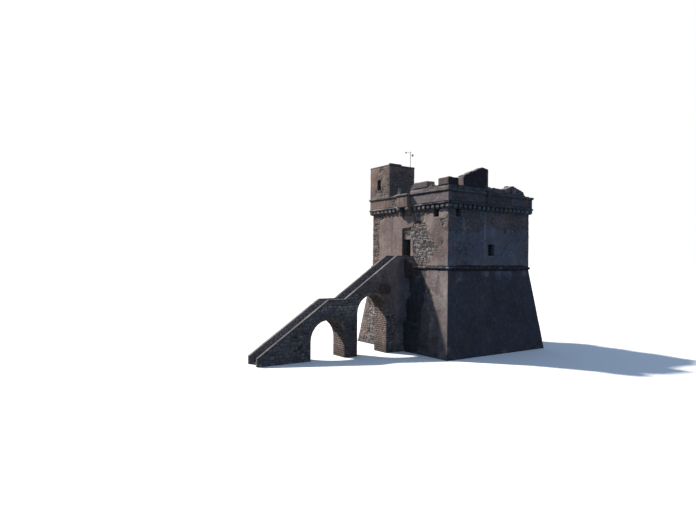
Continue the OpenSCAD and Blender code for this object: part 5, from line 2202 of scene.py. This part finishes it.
    def run(self, side: Side, level: float, spots: Sequence[Pair], rise: float, seed: int,
            length: float = 0.36) -> Shape:
        """Broken top stones along the middle of one side's wall.

        Args:
            side: which side.
            level: height that the spots are measured from.
            spots: distance along the side's axis and height over the level, for each end and bend.
            rise: how far the highest stones stand up.
            seed: picks the stones.
            length: their mean length.

        Returns:
            The stones.
        """
        middle = (SITE.edge + SITE.inside) / 2 * (1 if side in (Side.RIGHT, Side.BACK) else -1)
        turned_side = side in (Side.RIGHT, Side.LEFT)
        path = [(middle, far, level + up) if turned_side else (far, middle, level + up) for far, up in spots]
        return crest(path, SITE.edge - SITE.inside, rise, seed, length)

    def tops(self) -> None:
        """Broken top courses of the parapet, the merlons and the box."""
        front, right, back, left = Side
        edge, inside, first = SITE.edge, SITE.inside, self.front_merlon
        corner, corner_end = self.corner_merlon
        sill, cornice, top, high_top = SITE.sill, SITE.cornice_top, SITE.merlon_top, SITE.corner_top
        rows = [
            self.run(right, sill, [(corner_end, 0), (-4.2, 0)], 0.05, 500),
            self.run(right, sill, [(-0.75, 0.02), (-0.3, 0.03)], 0.26, 501, 0.25),
            self.run(right, cornice, [(-0.2, 0.47), (1.96, 0.52), (2.9, 0.88)], 0.12, 502, 0.3),
            self.run(right, cornice, [(2.7, 0.90), (3.3, 0.90)], 0.16, 503, 0.28),
            self.run(right, cornice, [(3.2, 0.86), (4.75, 0.44)], 0.12, 504, 0.3),
            self.run(right, cornice, [(4.9, 0), (edge, 0)], 0.10, 505, 0.3),
            self.run(front, sill, [(3.3, 0), (4.78, 0)], 0.06, 506),
            self.run(front, sill, [(3.4, 0.02), (4.0, 0.02)], 0.26, 507, 0.3),
            self.run(front, high_top, [(corner, 0), (edge, 0)], 0.06, 508, 0.4),
            self.run(right, high_top, [(-inside, 0), (corner_end, 0)], 0.06, 509, 0.3),
            self.run(front, top, [(first, 0), (first + self.merlon, 0)], 0.06, 510, 0.45),
            crest([(5.83, -4.16, self.slope_foot), (5.83, -1.56, 18.64)], 0.84, 0.06, 511, 0.42, 0.14),
            crest([(5.83, -1.56, 18.62), (5.83, -0.82, 18.5)], 0.84, 0.05, 512, 0.35, 0.14),
            self.run(back, sill, [(edge, -0.42), (4.3, -0.42)], 0.12, 513),
            self.run(back, sill, [(3.7, 0), (-corner, 0)], 0.05, 514),
            self.run(left, sill, [(inside, 0), (-2.7, 0)], 0.05, 515),
            self.run(front, cornice, [(-2.7, 0), (SITE.box_left, 0)], 0.07, 516, 0.5),
        ]
        lip, start = SITE.box_y + 0.16, SITE.box_y + 0.3
        ledge = [(x, lip, cornice - 0.02) for x in (SITE.box_left, SITE.box_right)]
        rows.append(crest(ledge, 0.26, 0.03, 517, 0.4))
        for number, x in enumerate((SITE.box_left + 0.15, SITE.box_right - 0.15)):
            rows.append(crest([(x, start, cornice), (x, -inside, cornice)], 0.28, 0.06, 518 + number, 0.4))
        for number, x in enumerate(self.back_merlons):
            rows.append(self.run(back, top, [(x, 0), (x + self.merlon, 0)], 0.08, 520 + number, 0.4))
        self.shop.show("parapet_tops", joined(rows), RUBBLE_STONE)
        self.shop.show("broken_stubs", self.stubs(SITE.box_left, SITE.box_y + 0.15), DRESSED)

    def stubs(self, x: float, y: float) -> Shape:
        """Two broken teeth on the box's left end, at x and y, and one behind its right end.

        Args:
            x: the box's left end.
            y: middle of the box's front wall.

        Returns:
            The stones.
        """
        foot = SITE.cornice_top
        lower = [(x + 0.02, y, foot + 0.1), (x + 0.44, y, foot + 0.15)]
        upper = [(x + 0.1, y, foot + 0.42), (x + 0.34, y, foot + 0.5)]
        end, middle = SITE.box_right, -(SITE.edge + SITE.inside) / 2
        behind = [(end + 0.08, middle, SITE.sill + 0.15), (end + 0.46, middle, SITE.sill + 0.3)]
        return joined([crest(lower, 0.29, 0.28, 530, 0.22, 0.2), crest(upper, 0.26, 0.26, 531, 0.16, 0.3),
                       crest(behind, SITE.edge - SITE.inside, 0.26, 532, 0.2, 0.3)])


@dataclass
class Turret:
    """Corner guard turret: walls, corner stones, lintels, roof slabs, kerb and paving."""

    shop: Workshop
    slot: tuple[float, float, float, float] = (-4.88, -4.31, 17.09, 18.25)
    door: Triple = (-4.75, -3.95, 17.0)
    coat: float = 0.03
    quoin: float = 0.34
    kerb: float = 0.415
    slab: float = 0.712
    slabs: int = 5

    def build(self) -> None:
        """Builds the turret's stones and plaster."""
        edge, x = SITE.edge, SITE.turret_x
        half, middle = (x + edge) / 2, (x - edge) / 2
        ring = Ring(SITE.cornice_top, SITE.turret_top, half, half, (middle, middle))
        gaps = [Opening(Side.FRONT, self.slot[0] - middle, self.slot[1] - middle, self.slot[2], self.slot[3]),
                Opening(Side.BACK, middle - self.door[1], middle - self.door[0], 0.0, self.door[2])]
        weather_and_shade = self.shop.weather_and_shade
        shapes = [ring.clad(SQUARED, 600, keep=weather_and_shade.bare, openings=gaps)]
        foot = Ring(SITE.terrace, SITE.cornice_top, half, half, (middle, middle))
        shapes.append(foot.clad(SQUARED, 610, (Side.RIGHT, Side.BACK), openings=gaps,
                                keep=lambda p: (p[..., 0] > -SITE.inside) & (p[..., 1] > -SITE.inside)))
        self.shop.show("turret_stones", joined(shapes), ASHLAR)
        corners = joined([ring.quoins(side, self.quoin, 620 + side.value) for side in Side])
        self.shop.show("turret_corner_stones", corners, ASHLAR)
        self.shop.plaster("turret_plaster", ring.plaster(self.coat, weather_and_shade.cover, gaps, 630))
        left, right, foot_z, head_z = self.slot
        lows = [(left - 0.18, -edge - 0.03, head_z + 0.003), (left - 0.12, -edge - 0.04, foot_z - 0.14)]
        highs = [(right + 0.18, -edge + 0.3, head_z + 0.22), (right + 0.12, -edge + 0.3, foot_z - 0.003)]
        lows.append((self.door[0] - 0.2, x - 0.3, self.door[2] + 0.003))
        highs.append((self.door[1] + 0.2, x + 0.03, self.door[2] + 0.25))
        stones = worn_boxes(lows, highs, (7, 5, 5), 0.025, 0.01, 640)
        self.shop.show("turret_lintels", stones, ASHLAR, "dressed_stone")
        self.roof(edge, x)

    def roof(self, edge: float, x: float) -> None:
        """Edge slabs of the roof, and the kerb.

        Args:
            edge: distance of the outer faces from the tower's axis.
            x: x and y of the inner ones.
        """
        lap, top = 0.03, high("turret_roof").z - 0.13
        middle = (x - edge) / 2
        ring = Ring(SITE.turret_top, top, (x + edge) / 2, (x + edge) / 2, (middle, middle))
        lows = np.array([(-1.78 + k * self.slab, lap, SITE.turret_top - 0.004) for k in range(self.slabs)])
        sizes = np.array([(self.slab - 0.010, 0.42, top - SITE.turret_top + 0.012)] * self.slabs)
        shapes = [ring.set_blocks(side, lows, sizes, (6, 5, 4), 0.03, 0.014, 650 + side.value)
                  for side in Side]
        kerb = [(x - 0.17, -edge - 0.01 + k * self.kerb, top - 0.02) for k in range(4)]
        kerb_end = [(x + 0.01, -edge + (k + 1) * self.kerb - 0.012, top + 0.138) for k in range(4)]
        shapes.append(worn_boxes(kerb, kerb_end, (5, 6, 5), 0.025, 0.01, 660))
        self.shop.show("turret_roof_slabs", joined(shapes), COPING, "paving")
        rim = 0.40
        wide = edge + x - 2 * rim
        roof = Face((-edge + rim, -edge + rim, top), (1, 0, 0), (0, 1, 0), wide, wide)
        self.shop.show("turret_roof_paving", roof.stones(PAVING, 670, fine=False), SLABS)


@dataclass
class Stair:
    """Outside stair: its rubble sides, arches, steps, landings, side parapets and copings."""

    shop: Workshop
    guard_height: float = 0.72
    guard_thick: float = 0.28
    coping: float = 0.06
    coat: float = 0.03
    voussoirs: int = 13

    def __post_init__(self) -> None:
        """Reads the flights and arches from the frame's nodes."""
        self.left, self.right = SITE.stair_left, SITE.stair_right
        self.end, self.half = SITE.stair_end, SITE.half
        self.lower_y = low("lower_steps").y
        self.going = self.lower_y - self.end
        self.mid_y, self.top_z = low("stair_landings").y, SITE.landing
        self.upper_y, self.top_y = low("upper_steps").y, high("upper_steps").y
        self.lower_n = round((self.mid_y - self.lower_y) / self.going)
        self.upper_n = round((self.top_y - self.upper_y) / self.going)
        self.riser = self.top_z / (self.lower_n + self.upper_n + 2)
        self.mid_z = (self.lower_n + 1) * self.riser
        self.knots = [self.end, self.mid_y, self.upper_y - self.going, self.top_y, -self.half]
        self.arches = []
        for arch, spandrel in (("lower_arch", "lower_spandrel"), ("upper_arch", "upper_spandrel")):
            a, b, c = low(arch), high(arch), high(spandrel)
            self.arches.append(((a.y + b.y) / 2, a.z, (c.y - low(spandrel).y) / 2, (b.y - a.y) / 2))

    def guard_top(self, y: Array) -> Array:
        """Height of the side parapets' top line."""
        h = self.guard_height
        return np.interp(y, self.knots, [h, self.mid_z + h, self.mid_z + h, self.top_z + h, self.top_z + h])

    def nosing(self, y: Array) -> Array:
        """Height of the line through the steps' front edges."""
        return np.interp(y, self.knots, [0.0, self.mid_z, self.mid_z, self.top_z, self.top_z])

    def along(self, u: Array | float, way: int) -> Array | float:
        """Turns a distance along one of the stair's long faces into y."""
        return self.end + u if way > 0 else -self.half - u

    def back(self, y: Array | float, way: int) -> Array | float:
        """Turns y into the distance along one of the stair's long faces."""
        return y - self.end if way > 0 else -self.half - y

    def long_face(self, x: float, way: int) -> Face:
        """Upright face at x along the whole stair, taken up it where way is 1 and down it where it is -1."""
        length, tall = -self.half - self.end, self.top_z + self.guard_height
        return Face((x, self.along(0, way), 0), (0, way, 0), (0, 0, 1), length, tall)

    def build(self) -> None:
        """Builds every part of the stair."""
        self.sides()
        self.reveals()
        self.rings()
        self.guards()
        self.steps()
        self.copings()

    def sides(self) -> None:
        """Rubble and plaster on the two long sides, cut to the top line, the arches and the base."""
        batter = (SITE.foot - SITE.half) / SITE.base_top
        weather_and_shade = self.shop.weather_and_shade
        for name, x, way in (("right", self.right, 1), ("left", self.left, -1)):
            face = self.long_face(x, way)

            def reach(z: Array, way: int = way) -> Array:
                """How far the side runs before it meets the battered base, as u."""
                return self.back(-(SITE.half + batter * np.clip(SITE.base_top - z, 0, None)), way)

            cutters = [within(1, lambda u, way=way: self.guard_top(self.along(u, way)) - self.coping - 0.01)]
            cutters.append(within(0, reach, way > 0))
            for cy, cz, r, ring in self.arches:
                cutters.append(off_arch((self.back(cy, way), cz), ring + 0.01, r + 0.02))
            stones = face.stones(COARSE, 700, cutters, weather_and_shade.bare, way > 0)
            self.shop.show(f"stair_stones_{name}", stones, RUBBLE_STONE)

            def inside(u: Array, v: Array, way: int = way) -> Array:
                """True on the masonry, 5 cm clear of its edges.

                Args:
                    u: distance along the face.
                    v: height on the face.
                    way: which way the face looks.

                Returns:
                    A truth value for each place.
                """
                y = self.along(u, way)
                there = v < self.guard_top(y) - self.coping - 0.05
                there &= (y < -(SITE.half + batter * np.clip(SITE.base_top - v, 0, None)) - 0.02)
                for cy, cz, r, ring in self.arches:
                    there &= ~((abs(y - cy) < r + 0.05) & (v < cz))
                    there &= (y - cy) ** 2 + (v - cz) ** 2 > (ring + 0.04) ** 2
                return there

            self.shop.plaster(f"stair_plaster_{name}", face.plaster(self.coat, weather_and_shade.cover, inside, 710))

    def reveals(self) -> None:
        """Squared stones on the piers' faces inside the arches, and on the stair's foot."""
        width = self.right - self.left
        shapes = []
        for number, (cy, cz, r, _) in enumerate(self.arches):
            near = Face((self.right, cy - r, 0), (-1, 0, 0), (0, 0, 1), width, cz)
            far = Face((self.left, cy + r, 0), (1, 0, 0), (0, 0, 1), width, cz)
            shapes += [near.stones(TUFA, 720 + number), far.stones(TUFA, 730 + number)]
        self.shop.show("arch_reveal_stones", joined(shapes), TUFA_STONE)
        wide, tall = self.guard_thick, self.guard_height - self.coping
        ends = [Face((x, self.end, 0), (1, 0, 0), (0, 0, 1), wide, tall)
                for x in (self.left, self.right - wide)]
        stones = joined([face.stones(END_STONES, 735) for face in ends])
        self.shop.show("stair_end_stones", stones, DRESSED, "rubble")

    def rings(self) -> None:
        """Voussoirs of the two arches: blocks bent round the centre, four across the stair's width."""
        shapes = []
        for number, (cy, cz, r, ring) in enumerate(self.arches):
            rng = np.random.default_rng(740 + number)
            angles = np.linspace(0, math.pi, self.voussoirs + 1)
            joints = np.array([0.0, 0.27, 0.5, 0.74, 1.0]) * (self.right - self.left + 0.036)
            first = np.repeat(angles[:-1], 4)
            turn = math.pi / self.voussoirs
            start = np.tile(joints[:-1], self.voussoirs) + self.left - 0.018
            widths = np.tile(np.diff(joints), self.voussoirs) - 0.012
            tall = ring - r + 0.02 * rng.uniform(0.2, 1, len(first))
            sizes = np.stack([np.full(len(first), turn * (r + ring) / 2 - 0.018), widths, tall], 1)

            def place(index: Array, p: Array, cy: float = cy, cz: float = cz, r: float = r,
                      first: Array = first, start: Array = start) -> Array:
                """Bends a block: length to an arc, width along x, height along the radius.

                Args:
                    index: which stone each vertex belongs to.
                    p: place in the stone.
                    cy: the arc's centre, y.
                    cz: the arc's centre, z.
                    r: the arc's radius.
                    first: angle where each stone starts.
                    start: x where each stone starts.

                Returns:
                    The place on the tower.
                """
                angle = first[index] + p[..., 0] / (r + 0.15)
                radius = r - 0.012 + p[..., 2]
                y, z = cy + radius * np.cos(angle), cz + radius * np.sin(angle)
                return np.stack([start[index] + p[..., 1], y, z], -1)

            shape = blocks(sizes, (5, 6, 5), 0.03, 0.012, 745 + number, place)
            shapes.append(Shape(shape.points, [face[:, ::-1] for face in shape.faces], shape.tone, shape.rim))
        self.shop.show("arch_voussoirs", joined(shapes), TUFA_STONE)

    def guards(self) -> None:
        """Rubble on the side parapets' inner faces, in pale stone that paints light onto the far face, which
        lies in shade.
        """
        shapes = []
        for x, way in ((self.left + self.guard_thick, 1), (self.right - self.guard_thick, -1)):
            cutters = [
                within(1, lambda u, way=way: self.guard_top(self.along(u, way)) - self.coping - 0.01),
                within(1, lambda u, way=way: self.nosing(self.along(u, way)) - 0.2, False),
            ]
            shapes.append(self.long_face(x, way).stones(TUFA, 750, cutters))
        self.shop.show("stair_guard_stones", joined(shapes), GUARD_STONE_WITH_PAINTED_LIGHT)

    def steps(self) -> None:
        """Worn step stones, three to a step, and the landings' slabs."""
        x0, x1 = self.left + self.guard_thick, self.right - self.guard_thick
        rng = np.random.default_rng(760)
        lows, highs = [], []
        flights = ((self.lower_y, 0.0, self.lower_n), (self.upper_y, self.mid_z, self.upper_n))
        for y0, z0, count in flights:
            for k in range(count):
                cuts = x0 + (x1 - x0) * np.array([0, rng.uniform(0.25, 0.42), rng.uniform(0.58, 0.75), 1])
                for a, b in zip(cuts, cuts[1:]):
                    y, z = y0 + k * self.going, z0 + (k + 1) * self.riser
                    lows.append((a + 0.004, y - 0.012, z - self.riser - 0.01))
                    highs.append((b - 0.004, y + self.going + 0.01, z + 0.008))
        steps = worn_boxes(lows, highs, (5, 5, 4), 0.022, 0.008, 765)
        self.shop.show("step_stones", steps, SLABS)
        landings = []
        for y0, y1, z in ((self.mid_y, self.upper_y, self.mid_z), (self.top_y, -self.half, self.top_z)):
            landings.append(Face((x0, y0, z), (1, 0, 0), (0, 1, 0), x1 - x0, y1 - y0).stones(PAVING, 770))
        self.shop.show("landing_slabs", joined(landings), SLABS)

    def copings(self) -> None:
        """Thin coping slabs along both side parapets."""
        rng = np.random.default_rng(780)
        starts, ends = [], []
        for a, b in zip(self.knots, self.knots[1:]):
            count = max(1, round((b - a) / 0.8))
            joints = np.linspace(a, b, count + 1)
            joints[1:-1] += 0.1 * rng.uniform(-1, 1, count - 1)
            starts.append(joints[:-1])
            ends.append(joints[1:])
        start, end = np.tile(np.concatenate(starts), 2), np.tile(np.concatenate(ends), 2)
        foot, head = self.guard_top(start), self.guard_top(end)
        span = np.hypot(end - start, head - foot)
        x = np.repeat([self.left, self.right - self.guard_thick], len(start) // 2) - 0.022
        wide, one = self.guard_thick + 0.044, np.ones(len(x))
        sizes = np.stack([span - 0.012, one * wide, one * (self.coping + 0.022)], 1)

        def place(number: Array, p: Array) -> Array:
            """Measures a slab up the slope, across to the left, and upright.

            Args:
                number: which slab each vertex belongs to.
                p: place in the slab.

            Returns:
                The place on the tower.
            """
            share = (p[..., 0] + 0.006) / span[number]
            y = start[number] + share * (end - start)[number]
            z = foot[number] + share * (head - foot)[number] - self.coping - 0.010 + p[..., 2]
            return np.stack([x[number] + wide - p[..., 1], y, z], -1)

        self.shop.show("coping_slabs", blocks(sizes, (8, 5, 4), 0.014, 0.008, 785, place), COPING)


@dataclass
class Doorway:
    """Jamb stones and lintel of the raised doorway, and the rubble over it."""

    shop: Workshop
    jamb_courses: int = 5
    jamb: float = 0.262
    lintel: float = 0.33
    lintel_out: float = 0.09
    courses: int = 4

    def build(self) -> None:
        """Builds the doorway's stones and those over it."""
        frame_low, frame_high = low("door_frame"), high("door_frame")
        self.frame(frame_low.y, frame_high.z)
        self.over(frame_low.y, frame_high.z)

    def frame(self, y: float, top: float) -> None:
        """Jamb stones and lintel of a frame whose front stands at y, up to its top.

        Args:
            y: the frame's front.
            top: its top.
        """
        left, right, head = SITE.recess_left, SITE.recess_right, top - self.lintel
        lows, highs = [], []
        tall = (head - SITE.floor) / self.jamb_courses
        for k in range(self.jamb_courses):
            z = SITE.floor + k * tall
            for a, b in ((left - 0.01, left + self.jamb), (right - self.jamb, right + 0.01)):
                lows.append((a, y - 0.014, z + 0.005))
                highs.append((b, y + 0.27, z + tall - 0.005))
        lows.append((left + 0.005, y - self.lintel_out, head + 0.003))
        highs.append((right - 0.005, y + 0.27, top + 0.003))
        self.shop.show("doorway_stones", worn_boxes(lows, highs, (6, 5, 6), 0.02, 0.007, 800), DRESSED)

    def over(self, y: float, foot: float) -> None:
        """Rubble that fills the recess over the lintel, in courses of four stones.

        Args:
            y: the frame's front.
            foot: top of the lintel.
        """
        rng = np.random.default_rng(810)
        left, right = SITE.recess_left, SITE.recess_right
        lows, highs = [], []
        levels = np.linspace(foot, SITE.recess_top, self.courses + 1)
        for z0, z1 in zip(levels, levels[1:]):
            shares = np.array([0, 0.26, 0.52, 0.76, 1]) + np.r_[0, rng.uniform(-0.07, 0.07, 3), 0]
            joints = left + (right - left) * shares
            for a, b in zip(joints, joints[1:]):
                lows.append((a + 0.008, y - rng.uniform(0.07, 0.12), z0 + 0.006))
                highs.append((b - 0.008, y + 0.02, z1 - 0.006))
        stones = worn_boxes(lows, highs, (5, 5, 5), 0.035, 0.014, 811)
        self.shop.show("stones_over_door", stones, RUBBLE_STONE)


@dataclass
class Ironwork:
    """Collars and rivets of the barred gate, and the clamps and bolts of the mast."""

    shop: Workshop
    leaf_width: float = 0.89
    stile: float = 0.06
    bars: int = 6
    bar_radius: float = 0.011
    middle_rail: float = 0.98
    collar: float = 0.006
    rivet: float = 0.014
    mast_radius: float = 0.03
    mast_inset: float = 0.31
    clamps: tuple[float, ...] = (0.16, 1.38, 1.71)
    clamp_out: float = 0.010
    bolt_circle: float = 0.065
    bolts: int = 4

    def build(self) -> None:
        """Builds the collars and rivets on the gate, and the clamps and bolts on the mast."""
        self.gate()
        self.mast()

    def gate(self) -> None:
        """Collars where the bars meet the rails, and rivets where the rails meet the stiles."""
        start, end = low("gate_leaf"), high("gate_leaf")
        left, right, half = end.x - self.leaf_width, end.x, self.stile / 2
        y = (low("gate_pintles").y + high("gate_pintles").y) / 2
        rails = [start.z + half, start.z + self.middle_rail + half, end.z - half]
        step = (right - left - 2 * self.stile) / (self.bars + 1)
        bars = [left + self.stile + (k + 1) * step for k in range(self.bars)]
        seats = [(x, y, z + way * (half + self.collar)) for x in bars for z in rails for way in (-1, 1)]
        seats = [seat for seat in seats if rails[0] < seat[2] < rails[2]]
        bar = self.bar_radius
        collar = [(bar - 0.001, -0.010), (bar + self.collar, -0.009), (bar + 0.008, 0.0),
                  (bar + self.collar, 0.009), (bar - 0.001, 0.010)]
        shapes = [turned(seats, collar, 2)]
        dome = [(self.rivet, 0.0), (0.013, 0.004), (0.008, 0.007)]
        for way, profile in ((-1, [(radius, -rise) for radius, rise in dome[::-1]]), (1, dome)):
            heads = [(x, y + way * 0.008, z) for x in (left + half, right - half) for z in rails]
            shapes.append(turned(heads, profile, 1))
        self.shop.show("gate_collars", joined(shapes), IRON, body="gate")

    def mast(self) -> None:
        """Clamps round the mast and bolts on its foot plate."""
        foot, x = low("mast").z, SITE.turret_x - self.mast_inset
        inner, outer = self.mast_radius - 0.002, self.mast_radius + self.clamp_out
        clamp = [(inner, -0.03), (outer, -0.028), (outer, 0.028), (inner, 0.03)]
        shapes = [turned([(x, x, foot + rise) for rise in self.clamps], clamp, 2, 16)]
        turns = [0.4 + k * 2 * math.pi / self.bolts for k in range(self.bolts)]
        spots = [(x + self.bolt_circle * math.cos(turn), x + self.bolt_circle * math.sin(turn), foot + 0.012)
                 for turn in turns]
        shapes.append(turned(spots, [(0.012, 0.0), (0.012, 0.010), (0.007, 0.013), (0.007, 0.024)], 2, 6))
        self.shop.show("mast_clamps", joined(shapes), STEEL)


def main() -> None:
    """Builds the studio and every part of the tower in order."""
    logging.basicConfig(level=logging.INFO, format="%(name)s: %(message)s")
    Studio().build()
    shop = Workshop(WEATHER_AND_SHADE)
    shop.dress_nodes()
    for part in (Body, Mouldings, Parapet, Turret, Stair, Doorway, Ironwork):
        part(shop).build()


if __name__ == "__main__":
    main()
